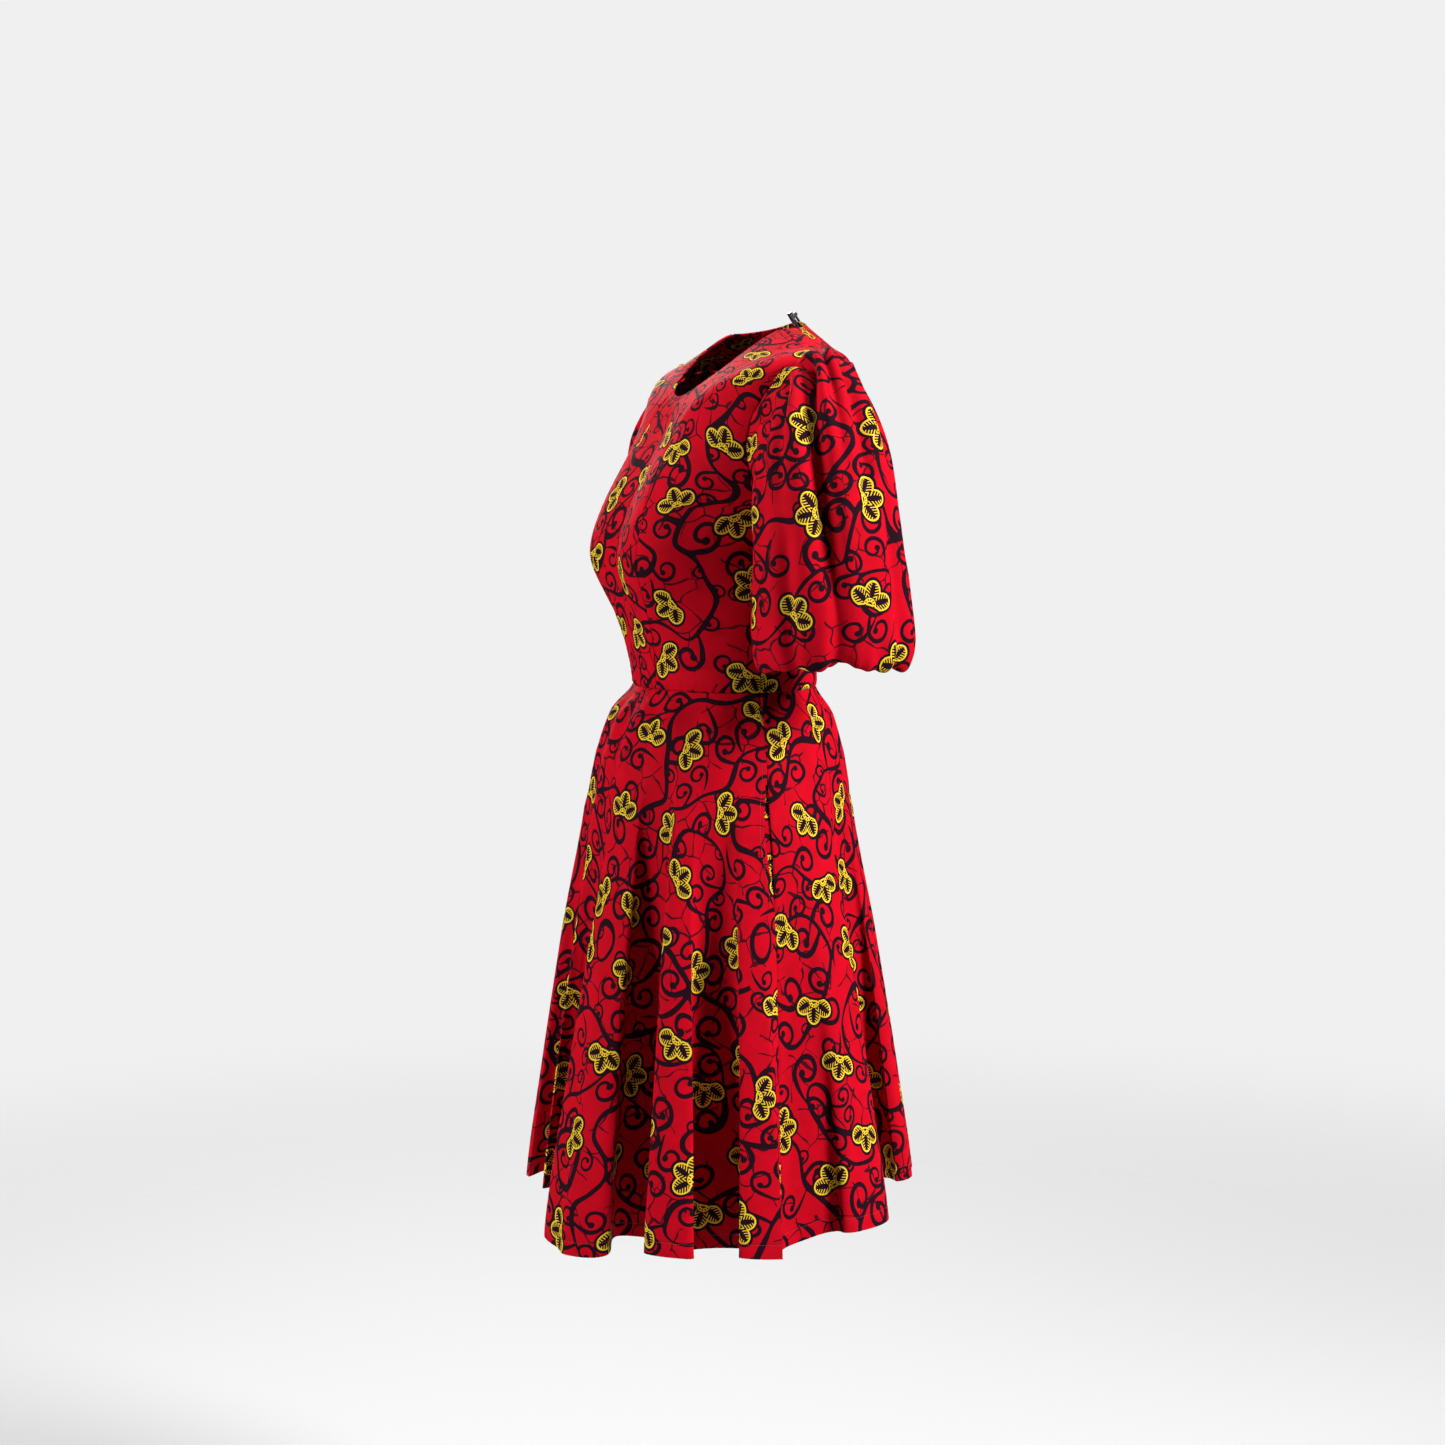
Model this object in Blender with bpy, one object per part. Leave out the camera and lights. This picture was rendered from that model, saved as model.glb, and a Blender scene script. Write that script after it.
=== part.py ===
"""Knee-length fit-and-flare dress of wax print cotton, in the hollow form it keeps when it is worn.

Units are metres, +Z is up, the front faces -Y and the wearer's left is +X.
The origin is midway between the shoulder points, where the shoulders hold the dress up.
Each cut panel is one closed wall of cloth, lofted from sections worked out from the sizes below.
"""

import math
from collections import namedtuple

import bmesh
import bpy
from mathutils import Matrix, Vector

# Cloth and seams
WALL = 0.0015
SEAM_GAP = 0.0004
BEHIND_GAP = 0.0008
PROBE = 0.01

# Bodice sections, from the waist seam (level 0) to the neckline (level 8)
BodiceRing = namedtuple("BodiceRing", "centre_y half_width front back z_front z_side z_back squareness")
BODICE_RINGS = [
    BodiceRing(-0.039, 0.118, 0.094, 0.093, -0.360, -0.360, -0.360, 2.10),
    BodiceRing(-0.036, 0.122, 0.103, 0.096, -0.318, -0.318, -0.318, 2.15),
    BodiceRing(-0.031, 0.131, 0.117, 0.101, -0.270, -0.270, -0.270, 2.20),
    BodiceRing(-0.023, 0.141, 0.131, 0.102, -0.222, -0.222, -0.222, 2.30),
    BodiceRing(-0.012, 0.148, 0.128, 0.094, -0.172, -0.170, -0.170, 2.45),
    BodiceRing(-0.004, 0.163, 0.114, 0.083, -0.124, -0.100, -0.110, 2.55),
    BodiceRing(0.000, 0.178, 0.100, 0.071, -0.087, -0.026, -0.046, 2.50),
    BodiceRing(-0.001, 0.130, 0.093, 0.061, -0.070, -0.007, -0.008, 2.30),
    BodiceRing(-0.003, 0.082, 0.085, 0.045, -0.058, 0.010, 0.021, 2.10),
]
WAIST_Z = BODICE_RINGS[0].z_side
END_DIP = 1.4
NECK_LEVEL = len(BODICE_RINGS) - 1

# Bust shaping that the princess seams sew in
BUST_ANGLE = 31.0
BUST_SPREAD = 16.0
BUST_LIFT = 0.0245
BUST_Z = -0.218
BUST_ABOVE = 0.080
BUST_BELOW = 0.045

# Armhole, an oval in the bodice's own angle and level
SIDE_ANGLE = 90.0
ARMHOLE_LEVEL = 5.0
ARMHOLE_FRONT_CUT = 22.0
ARMHOLE_BACK_CUT = 24.0
BACK_ANGLE = 180.0

# Princess seam, in degrees from centre front at each level
PrincessPoint = namedtuple("PrincessPoint", "level angle")
PRINCESS_SEAM = [
    PrincessPoint(0.0, 26.0),
    PrincessPoint(1.5, 30.0),
    PrincessPoint(3.0, 32.0),
    PrincessPoint(4.5, 28.0),
    PrincessPoint(6.0, 24.0),
    PrincessPoint(8.0, 20.0),
]
LEVELS_BELOW_ARMHOLE = [0, 0.7, 1.4, 2, 2.5, 3, 3.5]
LEVELS_ABOVE_ARMHOLE = [6.5, 7.2, 8]
ARMHOLE_STEPS = 8
FRONT_COLUMNS = 10
SIDE_FRONT_COLUMNS = 6
BACK_COLUMNS = 9

# Skirt: the outer line of its folds at each height
SkirtRow = namedtuple("SkirtRow", "z half_width half_depth centre_y")
SKIRT_ROWS = [
    SkirtRow(-0.360, 0.118, 0.094, -0.0395),
    SkirtRow(-0.390, 0.139, 0.114, -0.0430),
    SkirtRow(-0.430, 0.157, 0.127, -0.0450),
    SkirtRow(-0.490, 0.174, 0.140, -0.0460),
    SkirtRow(-0.620, 0.206, 0.164, -0.0455),
    SkirtRow(-0.760, 0.234, 0.187, -0.0445),
    SkirtRow(-0.912, 0.260, 0.208, -0.0440),
]
HEM_Z = SKIRT_ROWS[-1].z

# Each valley between two folds: where it lies, how far its sides reach, how deep it is at the hem
# and the height where it starts. A depth below zero is a fold that stands further out.
Valley = namedtuple("Valley", "angle before after depth top_z")
VALLEYS = [
    Valley(12.0, 10, 11, 0.052, -0.49),
    Valley(28.0, 14, 13, -0.018, -0.55),
    Valley(47.5, 13, 11, 0.076, -0.40),
    Valley(71.5, 12, 10, 0.060, -0.43),
    Valley(93.0, 10, 13, 0.032, -0.52),
    Valley(126.0, 14, 11, 0.062, -0.45),
    Valley(148.0, 11, 10, 0.050, -0.46),
    Valley(169.0, 11, 12, 0.054, -0.53),
    Valley(194.0, 13, 13, 0.060, -0.50),
    Valley(220.0, 13, 12, 0.066, -0.45),
    Valley(246.0, 13, 12, 0.058, -0.47),
    Valley(271.0, 12, 12, 0.050, -0.50),
    Valley(296.0, 13, 12, 0.068, -0.44),
    Valley(321.0, 12, 15, 0.064, -0.42),
    Valley(352.0, 14, 12, 0.046, -0.46),
]
VALLEY_SHARPNESS = 1.1
VALLEY_GROWTH = 0.95

# The hem hangs lower over the left hip and higher in front and behind
HemPoint = namedtuple("HemPoint", "angle rise")
HEM_LINE = [
    HemPoint(-10, 0.024),
    HemPoint(5, 0.022),
    HemPoint(15, -0.004),
    HemPoint(26, -0.013),
    HemPoint(60, -0.005),
    HemPoint(84, 0.000),
    HemPoint(97, 0.014),
    HemPoint(118, 0.025),
    HemPoint(132, 0.043),
    HemPoint(160, 0.030),
    HemPoint(192, 0.032),
    HemPoint(222, 0.020),
    HemPoint(262, 0.006),
    HemPoint(300, 0.002),
]
SKIRT_COLUMNS_PER_QUARTER = 25
SKIRT_DROPS = [0, 0.04, 0.08, 0.12, 0.18, 0.25, 0.32, 0.4, 0.48, 0.58, 0.69, 0.8, 0.9, 1]

# Pockets in the side seams
MOUTH_TOP_Z = -0.425
MOUTH_BOTTOM_Z = -0.575
MOUTH_GAPE = 0.007
POCKET_FIRST_ROW = 2
POCKET_LAST_ROW = 8
POCKET_FRONT_COLUMNS = 6
POCKET_BACK_COLUMNS = 2
POCKET_WALL = 0.0022

# Sleeve sections, from the armhole (ring 0) to the gathered hem
SleeveRing = namedtuple("SleeveRing", "x y z tilt half_up half_deep")
SLEEVE_RINGS = [
    SleeveRing(0.1895, -0.004, -0.1005, 20.0, 0.086, 0.060),
    SleeveRing(0.2150, -0.009, -0.1450, 41.4, 0.088, 0.068),
    SleeveRing(0.2240, -0.006, -0.2025, 62.8, 0.081, 0.0735),
    SleeveRing(0.2220, -0.001, -0.2585, 80.2, 0.079, 0.0785),
    SleeveRing(0.2195, 0.003, -0.3020, 87.8, 0.0785, 0.0810),
    SleeveRing(0.2195, 0.003, -0.3240, 89.0, 0.0715, 0.0740),
    SleeveRing(0.2195, 0.003, -0.3205, 90.0, 0.0570, 0.0590),
]
SLEEVE_STEPS = [0, 0.4, 0.9, 1.5, 2.2, 3, 4, 5, 5.7, 6.3, 7]
HEAD_NARROWING = 0.28
HEAD_GATHERS = 7
HEAD_GATHER_DEPTH = 0.0034
HEAD_HALF_ANGLE = 63.0
HEAD_FADE = 2.1
HEM_GATHERS = 12
HEM_GATHER_DEPTH = 0.0028
SLEEVE_HEAD_COLUMNS = 28
SLEEVE_UNDER_COLUMNS = 18

# Centre back zip
ZIP_HALF_WIDTH = 0.012
ZIP_TAPE = 0.001
ZIP_LAST_ROW = 6
ZIP_RISE = 0.004
SLIDER_WIDTH = 0.0076
SLIDER_DEPTH = 0.0040
SLIDER_HEIGHT = 0.0080
PIN_RADIUS = 0.0009
EYE_BORE = 0.0013
EYE_RADIUS = 0.0022
EYE_LENGTH = 0.0030
EAR_THICKNESS = 0.0012
HINGE_GAP = 0.0003
PULL_LENGTH = 0.026
PULL_TOP_WIDTH = 0.0030
PULL_END_WIDTH = 0.0066
PULL_THICKNESS = 0.0012
PULL_CLEARANCE = 0.0010
HINGE_SEGMENTS = 20

RED = (0.62, 0.01, 0.025)
BLACK = (0.02, 0.018, 0.025)


def between(rows, position):
    """Smooth value of every column at a fractional row, by a Catmull-Rom curve."""
    position = min(max(position, 0.0), len(rows) - 1.0)
    first = min(int(position), len(rows) - 2)
    t = position - first
    knots = [rows[min(max(first + k, 0), len(rows) - 1)] for k in (-1, 0, 1, 2)]
    values = []
    for a, b, c, d in zip(*knots):
        slope_b = (c - a) / 2
        slope_c = (d - b) / 2
        values.append(
            b
            + slope_b * t
            + (3 * (c - b) - 2 * slope_b - slope_c) * t * t
            + (2 * (b - c) + slope_b + slope_c) * t**3
        )
    return type(rows[0])(*values)


def row_at(rows, key, value):
    """Fractional row where a column that only rises or only falls has this value."""
    column = [getattr(row, key) for row in rows]
    for i in range(len(rows) - 1):
        low, high = sorted((column[i], column[i + 1]))
        if low <= value <= high:
            return i + (value - column[i]) / (column[i + 1] - column[i])
    return 0.0 if abs(value - column[0]) < abs(value - column[-1]) else len(rows) - 1.0


def ease(share):
    share = min(max(share, 0.0), 1.0)
    return share * share * (3 - 2 * share)


def bell(distance, width):
    return math.exp(-0.5 * (distance / width) ** 2)


def turned(angle):
    """The same direction between -180 and 180 degrees."""
    return (angle + 180.0) % 360.0 - 180.0


def bodice_point(angle, level):
    """A point of the bodice's outer face. Angle 0 is centre front and 90 the left side."""
    ring = between(BODICE_RINGS, level)
    side = math.sin(math.radians(angle))
    ahead = math.cos(math.radians(angle))
    depth = ring.front if ahead > 0 else ring.back
    end_z = ring.z_front if ahead > 0 else ring.z_back
    power = ring.squareness
    radius = (abs(side / ring.half_width) ** power + abs(ahead / depth) ** power) ** (-1 / power)
    z = ring.z_side + (end_z - ring.z_side) * abs(ahead) ** END_DIP
    height = BUST_ABOVE if z > BUST_Z else BUST_BELOW
    around = bell(abs(turned(angle)) - BUST_ANGLE, BUST_SPREAD)
    radius += BUST_LIFT * around * bell(z - BUST_Z, height)
    return Vector((radius * side, ring.centre_y - radius * ahead, z))


def hem_rise(angle):
    """How much higher than its usual height the hem hangs in this direction."""
    angle = (angle + 10) % 360 - 10
    points = HEM_LINE + [HemPoint(HEM_LINE[0].angle + 360, HEM_LINE[0].rise)]
    for a, b in zip(points, points[1:]):
        if a.angle <= angle <= b.angle:
            return a.rise + (b.rise - a.rise) * ease((angle - a.angle) / (b.angle - a.angle))
    return 0.0


def fold_depth(angle, z):
    """How far the valleys between the folds reach in from the skirt's outer line."""
    total = 0.0
    for valley in VALLEYS:
        away = turned(angle - valley.angle)
        reach = valley.after if away > 0 else valley.before
        if abs(away) < reach and z < valley.top_z:
            grown = ((valley.top_z - z) / (valley.top_z - HEM_Z)) ** VALLEY_GROWTH
            shape = (0.5 + 0.5 * math.cos(math.pi * away / reach)) ** VALLEY_SHARPNESS
            total += valley.depth * grown * shape
    return total


def skirt_point(angle, drop):
    """A point of the skirt's outer face. Drop is 0 at the waist seam and 1 at the hem."""
    z = WAIST_Z + (HEM_Z + hem_rise(angle) - WAIST_Z) * drop
    row = between(SKIRT_ROWS, row_at(SKIRT_ROWS, "z", z))
    side = math.sin(math.radians(angle))
    ahead = math.cos(math.radians(angle))
    outer = 1 / math.sqrt((side / row.half_width) ** 2 + (ahead / row.half_depth) ** 2)
    radius = outer - fold_depth(angle, z)
    return Vector((radius * side, row.centre_y - radius * ahead, z))


def armhole_cut(level, depth):
    """How far the armhole reaches from the side seam at this level, in degrees."""
    return depth * math.sqrt(max(0.0, 1 - (level - ARMHOLE_LEVEL) ** 2))


def armhole_point(around):
    """The armhole's seam line. Around is 0 at the shoulder and 90 in front."""
    forward = math.sin(math.radians(around))
    depth = ARMHOLE_FRONT_CUT if forward > 0 else ARMHOLE_BACK_CUT
    level = ARMHOLE_LEVEL + math.cos(math.radians(around))
    return bodice_point(SIDE_ANGLE - depth * forward, level)


def seam_step_point(around):
    """The armhole's seam line as the bodice panels have it, straight between their rows."""
    step = 180.0 / ARMHOLE_STEPS
    first = math.floor(around / step) * step
    share = (around - first) / step
    return armhole_point(first).lerp(armhole_point(first + step), share)


def sleeve_ring_point(index, around):
    """A point of one sleeve section."""
    if index == 0:
        return armhole_point(around)
    ring = SLEEVE_RINGS[index - 1]
    up = math.cos(math.radians(around))
    forward = math.sin(math.radians(around))
    narrowing = HEAD_NARROWING if index == 1 else 0.0
    tilt = math.radians(ring.tilt)
    along_up = ring.half_up * up
    along_front = ring.half_deep * forward * (1 - narrowing * max(0.0, up))
    return Vector(
        (
            ring.x + along_up * math.sin(tilt),
            ring.y - along_front,
            ring.z + along_up * math.cos(tilt),
        )
    )


def gather_push(around, step):
    """How far the gathers at the head and at the hem push the sleeve out or in."""
    around = turned(around)
    head = 0.0
    if abs(around) < HEAD_HALF_ANGLE:
        wave = math.cos(math.pi * HEAD_GATHERS * around / HEAD_HALF_ANGLE)
        head = HEAD_GATHER_DEPTH * wave * ease(1 - step / HEAD_FADE)
        head *= ease(step / 0.4 + 0.4) * ease(2 - 2 * abs(around) / HEAD_HALF_ANGLE)
    hem_share = ease((step - 3.6) / 2.4)
    hem = HEM_GATHER_DEPTH * hem_share * math.cos(math.radians(HEM_GATHERS * around))
    return head + hem


def sleeve_base(around, step):
    rows = [sleeve_ring_point(i, around).to_tuple() for i in range(len(SLEEVE_RINGS) + 1)]
    point = namedtuple("Point", "x y z")
    return Vector(between([point(*row) for row in rows], step))


def sleeve_point(around, step):
    """A point of the left sleeve's outer face. Step 0 is the armhole and 7 the hem."""
    base = sleeve_base(around, step)
    outward = surface_normal(sleeve_base, around, step, 1)
    return base + outward * gather_push(around, step)


def surface_normal(surface, u, v, sign):
    """The unit normal of a surface of two numbers, by small differences."""
    along_u = surface(u + PROBE * 20, v) - surface(u - PROBE * 20, v)
    along_v = surface(u, v + PROBE) - surface(u, v - PROBE)
    return (along_u.cross(along_v) * sign).normalized()


def bodice_normal(angle, level):
    level = min(max(level, PROBE), NECK_LEVEL - PROBE)
    return surface_normal(bodice_point, angle, level, 1)


def skirt_normal(angle, drop):
    drop = min(max(drop, PROBE), 1 - PROBE)
    return surface_normal(skirt_point, angle, drop, -1)


def sleeve_normal(around, step):
    step = min(max(step, PROBE), len(SLEEVE_RINGS) - PROBE)
    return surface_normal(sleeve_point, around, step, 1)


def pulled_in(points, edges):
    """Draws the named edges of a grid of points half a seam gap towards its middle."""
    moved = [list(row) for row in points]
    half = SEAM_GAP / 2
    if "bottom" in edges:
        for j, point in enumerate(points[0]):
            moved[0][j] = point + (points[1][j] - point).normalized() * half
    if "top" in edges:
        for j, point in enumerate(points[-1]):
            moved[-1][j] = point + (points[-2][j] - point).normalized() * half
    if "sides" in edges:
        for i, row in enumerate(points):
            moved[i][0] = moved[i][0] + (row[1] - row[0]).normalized() * half
            moved[i][-1] = moved[i][-1] + (row[-2] - row[-1]).normalized() * half
    return moved


def wall_mesh(name, outer, inner, ring=False):
    """A closed wall between two grids of points, row by row. A ring's last column meets its first."""
    mesh = bpy.data.meshes.new(name)
    shape = bmesh.new()
    rows, columns = len(outer), len(outer[0])
    out = [[shape.verts.new(p) for p in row] for row in outer]
    back = [[shape.verts.new(p) for p in row] for row in inner]
    last = columns if ring else columns - 1
    for j in range(last):
        k = (j + 1) % columns
        for i in range(rows - 1):
            shape.faces.new((out[i][j], out[i][k], out[i + 1][k], out[i + 1][j]))
            shape.faces.new((back[i][j], back[i + 1][j], back[i + 1][k], back[i][k]))
        shape.faces.new((out[0][k], out[0][j], back[0][j], back[0][k]))
        shape.faces.new((out[-1][j], out[-1][k], back[-1][k], back[-1][j]))
    if not ring:
        for i in range(rows - 1):
            shape.faces.new((out[i][0], out[i + 1][0], back[i + 1][0], back[i][0]))
            shape.faces.new((out[i + 1][-1], out[i][-1], back[i][-1], back[i + 1][-1]))
    bmesh.ops.recalc_face_normals(shape, faces=shape.faces)
    shape.to_mesh(mesh)
    shape.free()
    mesh.shade_smooth()
    return mesh


def material_of(name, colour, roughness, metallic):
    material = bpy.data.materials.new(name)
    material.use_nodes = True
    shader = material.node_tree.nodes["Principled BSDF"]
    shader.inputs["Base Color"].default_value = (*colour, 1)
    shader.inputs["Roughness"].default_value = roughness
    shader.inputs["Metallic"].default_value = metallic
    material.diffuse_color = (*colour, 1)
    return material


def add_object(name, mesh, material, collection):
    item = bpy.data.objects.new(name, mesh)
    mesh.materials.append(material)
    collection.objects.link(item)
    return item


def mirrored(mesh, name):
    """A copy of a mesh on the wearer's other side."""
    copy = mesh.copy()
    copy.name = name
    copy.materials.clear()
    copy.transform(Matrix.Scale(-1, 4, Vector((1, 0, 0))))
    copy.flip_normals()
    return copy


def panel(name, surface, normal, grid, edges, near=0.0, thickness=WALL):
    """A panel's wall through a grid of a surface's two numbers, from near its outer face inwards."""
    outer = [[surface(*uv) - normal(*uv) * near for uv in row] for row in grid]
    inner = [
        [surface(*uv) - normal(*uv) * (near + thickness) for uv in row] for row in grid
    ]
    return wall_mesh(name, pulled_in(outer, edges), pulled_in(inner, edges))


def spread(first, last, count):
    return [first + (last - first) * i / count for i in range(count + 1)]


def princess_angle(level):
    """The princess seam's direction from centre front at this level."""
    return between(PRINCESS_SEAM, row_at(PRINCESS_SEAM, "level", level)).angle


def bodice_levels():
    """The bodice's rows, with the armhole's rows evenly spaced round its oval."""
    steps = spread(180.0, 0.0, ARMHOLE_STEPS)
    armhole = [ARMHOLE_LEVEL + math.cos(math.radians(a)) for a in steps]
    return LEVELS_BELOW_ARMHOLE + armhole + LEVELS_ABOVE_ARMHOLE


def build_bodice(cloth, collection):
    front, side_front, back = [], [], []
    for level in bodice_levels():
        half = SIDE_ANGLE - armhole_cut(level, ARMHOLE_FRONT_CUT)
        seam = princess_angle(level)
        rear = SIDE_ANGLE + armhole_cut(level, ARMHOLE_BACK_CUT)
        front.append([(a, level) for a in spread(-seam, seam, FRONT_COLUMNS)])
        side_front.append([(a, level) for a in spread(seam, half, SIDE_FRONT_COLUMNS)])
        back.append([(a, level) for a in spread(rear, BACK_ANGLE, BACK_COLUMNS)])
    edges = ("bottom", "sides")
    shapes = {
        "bodice_front": panel("bodice_front", bodice_point, bodice_normal, front, edges),
        "bodice_side_front_left": panel("side_front", bodice_point, bodice_normal, side_front, edges),
        "bodice_back_left": panel("bodice_back", bodice_point, bodice_normal, back, edges),
    }
    for name in ("bodice_side_front", "bodice_back"):
        shapes[name + "_right"] = mirrored(shapes[name + "_left"], name + "_right")
    for name, mesh in shapes.items():
        add_object(name, mesh, cloth, collection)


def mouth_gape(z):
    """How far the front edge of the pocket mouth stands forward of the side seam."""
    share = (MOUTH_TOP_Z - z) / (MOUTH_TOP_Z - MOUTH_BOTTOM_Z)
    return MOUTH_GAPE * math.sin(math.pi * min(max(share, 0.0), 1.0)) ** 2


def gape_angle(side, drop):
    point = skirt_point(side, drop)
    return math.degrees(mouth_gape(point.z) / math.hypot(point.x, point.y))


def skirt_row(drop):
    """The columns of the front and of both backs at one height of the skirt."""
    left = SIDE_ANGLE - gape_angle(SIDE_ANGLE, drop)
    right = -SIDE_ANGLE + gape_angle(-SIDE_ANGLE, drop)
    front = spread(right, left, 2 * SKIRT_COLUMNS_PER_QUARTER)
    back_left = spread(SIDE_ANGLE, BACK_ANGLE, SKIRT_COLUMNS_PER_QUARTER)
    back_right = spread(BACK_ANGLE, 3 * SIDE_ANGLE, SKIRT_COLUMNS_PER_QUARTER)
    return [[(angle, drop) for angle in row] for row in (front, back_left, back_right)]


def build_skirt(cloth, collection):
    grids = zip(*[skirt_row(drop) for drop in SKIRT_DROPS])
    for name, grid in zip(("skirt_front", "skirt_back_left", "skirt_back_right"), grids):
        mesh = panel(name, skirt_point, skirt_normal, grid, ("bottom", "sides"))
        add_object(name, mesh, cloth, collection)


def build_pockets(cloth, collection):
    """The pocket bags, two pressed layers of cloth that hang behind the side seams."""
    left, right = [], []
    for drop in SKIRT_DROPS[POCKET_FIRST_ROW : POCKET_LAST_ROW + 1]:
        front, back_left, back_right = skirt_row(drop)
        left.append(front[-POCKET_FRONT_COLUMNS:] + back_left[1 : POCKET_BACK_COLUMNS + 1])
        behind = back_right[-POCKET_BACK_COLUMNS - 1 : -1]
        right.append(behind + [(angle + 360, drop) for angle, drop in front[:POCKET_FRONT_COLUMNS]])
    near = WALL + BEHIND_GAP
    for name, grid in (("pocket_left", left), ("pocket_right", right)):
        mesh = panel(name, skirt_point, skirt_normal, grid, (), near, POCKET_WALL)
        add_object(name, mesh, cloth, collection)


def sleeve_angles():
    """Directions round the sleeve, closer together where the head is gathered."""
    head = spread(-HEAD_HALF_ANGLE, HEAD_HALF_ANGLE, SLEEVE_HEAD_COLUMNS)
    under = spread(HEAD_HALF_ANGLE, 360 - HEAD_HALF_ANGLE, SLEEVE_UNDER_COLUMNS)
    return head + under[1:-1]


def build_sleeves(cloth, collection):
    angles = sleeve_angles()
    outer, inner = [], []
    for step in SLEEVE_STEPS:
        faces = [sleeve_point(a, step) for a in angles]
        normals = [sleeve_normal(a, step) for a in angles]
        if step == 0:
            seam = [seam_step_point(a) for a in angles]
            next_row = [sleeve_point(a, SLEEVE_STEPS[1]) for a in angles]
            faces = [p + (q - p).normalized() * SEAM_GAP for p, q in zip(seam, next_row)]
            faces = [p - n * SEAM_GAP for p, n in zip(faces, normals)]
        outer.append(faces)
        inner.append([p - n * WALL for p, n in zip(faces, normals)])
    left = wall_mesh("sleeve_left", outer, inner, ring=True)
    right = mirrored(left, "sleeve_right")
    add_object("sleeve_left", left, cloth, collection)
    add_object("sleeve_right", right, cloth, collection)


def build_zip_tape(tape, collection):
    """The zip's tape, behind both back panels from above the neckline to below the waist."""
    near = WALL + BEHIND_GAP
    outer, inner = [], []
    rows = [(bodice_point, bodice_normal, level) for level in reversed(bodice_levels())]
    rows += [(skirt_point, skirt_normal, drop) for drop in SKIRT_DROPS[1:ZIP_LAST_ROW]]
    for surface, normal, along in rows:
        centre = surface(BACK_ANGLE, along)
        reach = math.degrees(ZIP_HALF_WIDTH / (centre.y + 0.03))
        angles = spread(BACK_ANGLE - reach, BACK_ANGLE + reach, 4)
        outer.append([surface(a, along) - normal(a, along) * near for a in angles])
        inner.append([surface(a, along) - normal(a, along) * (near + ZIP_TAPE) for a in angles])
    for layer in (outer, inner):
        upwards = [(p - q).normalized() * ZIP_RISE for p, q in zip(layer[0], layer[1])]
        layer.insert(0, [p + rise for p, rise in zip(layer[0], upwards)])
    add_object("zip_tape", wall_mesh("zip_tape", outer, inner), tape, collection)


def box(name, size, place, collection):
    mesh = bpy.data.meshes.new(name)
    shape = bmesh.new()
    bmesh.ops.create_cube(shape, size=1)
    bmesh.ops.scale(shape, vec=size, verts=shape.verts)
    bmesh.ops.translate(shape, vec=place, verts=shape.verts)
    shape.to_mesh(mesh)
    shape.free()
    item = bpy.data.objects.new(name, mesh)
    collection.objects.link(item)
    return item


def rod(name, radius, length, collection):
    """A cylinder along X through the origin."""
    mesh = bpy.data.meshes.new(name)
    shape = bmesh.new()
    bmesh.ops.create_cone(
        shape,
        cap_ends=True,
        segments=HINGE_SEGMENTS,
        radius1=radius,
        radius2=radius,
        depth=length,
        matrix=Matrix.Rotation(math.pi / 2, 4, "Y"),
    )
    shape.to_mesh(mesh)
    shape.free()
    item = bpy.data.objects.new(name, mesh)
    collection.objects.link(item)
    return item


def combine(item, other, operation):
    """Joins or cuts one object with another by a Boolean, and hides the other as a helper."""
    modifier = item.modifiers.new(operation.lower(), "BOOLEAN")
    modifier.operation = operation
    modifier.object = other
    modifier.solver = "EXACT"
    other.hide_render = True
    other.display_type = "WIRE"


def pull_tab(collection):
    """The pull's flat drop, which hangs from its eye down along -Z."""
    outline = bpy.data.curves.new("zip_pull_outline", "CURVE")
    outline.dimensions = "2D"
    outline.fill_mode = "BOTH"
    outline.extrude = PULL_THICKNESS / 2
    outline.resolution_u = 8
    line = outline.splines.new("BEZIER")
    end = -PULL_LENGTH
    widest = end + PULL_END_WIDTH / 2
    points = [
        (PULL_TOP_WIDTH / 2, -EYE_RADIUS * 0.6),
        (-PULL_TOP_WIDTH / 2, -EYE_RADIUS * 0.6),
        (-PULL_END_WIDTH / 2, widest),
        (0.0, end),
        (PULL_END_WIDTH / 2, widest),
    ]
    line.bezier_points.add(len(points) - 1)
    line.use_cyclic_u = True
    for knot, (x, y) in zip(line.bezier_points, points):
        knot.co = (x, y, 0)
        knot.handle_left_type = "AUTO" if y < -PULL_LENGTH / 2 else "VECTOR"
        knot.handle_right_type = knot.handle_left_type
    drawn = bpy.data.objects.new("zip_pull_drawn", outline)
    collection.objects.link(drawn)
    drawn.rotation_euler = (math.pi / 2, 0, 0)
    bpy.context.view_layer.update()
    graph = bpy.context.evaluated_depsgraph_get()
    mesh = bpy.data.meshes.new_from_object(drawn.evaluated_get(graph))
    mesh.transform(drawn.matrix_world)
    bpy.data.objects.remove(drawn)
    shape = bmesh.new()
    shape.from_mesh(mesh)
    bmesh.ops.remove_doubles(shape, verts=shape.verts, dist=0.00001)
    bmesh.ops.recalc_face_normals(shape, faces=shape.faces)
    shape.to_mesh(mesh)
    shape.free()
    return mesh


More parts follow.
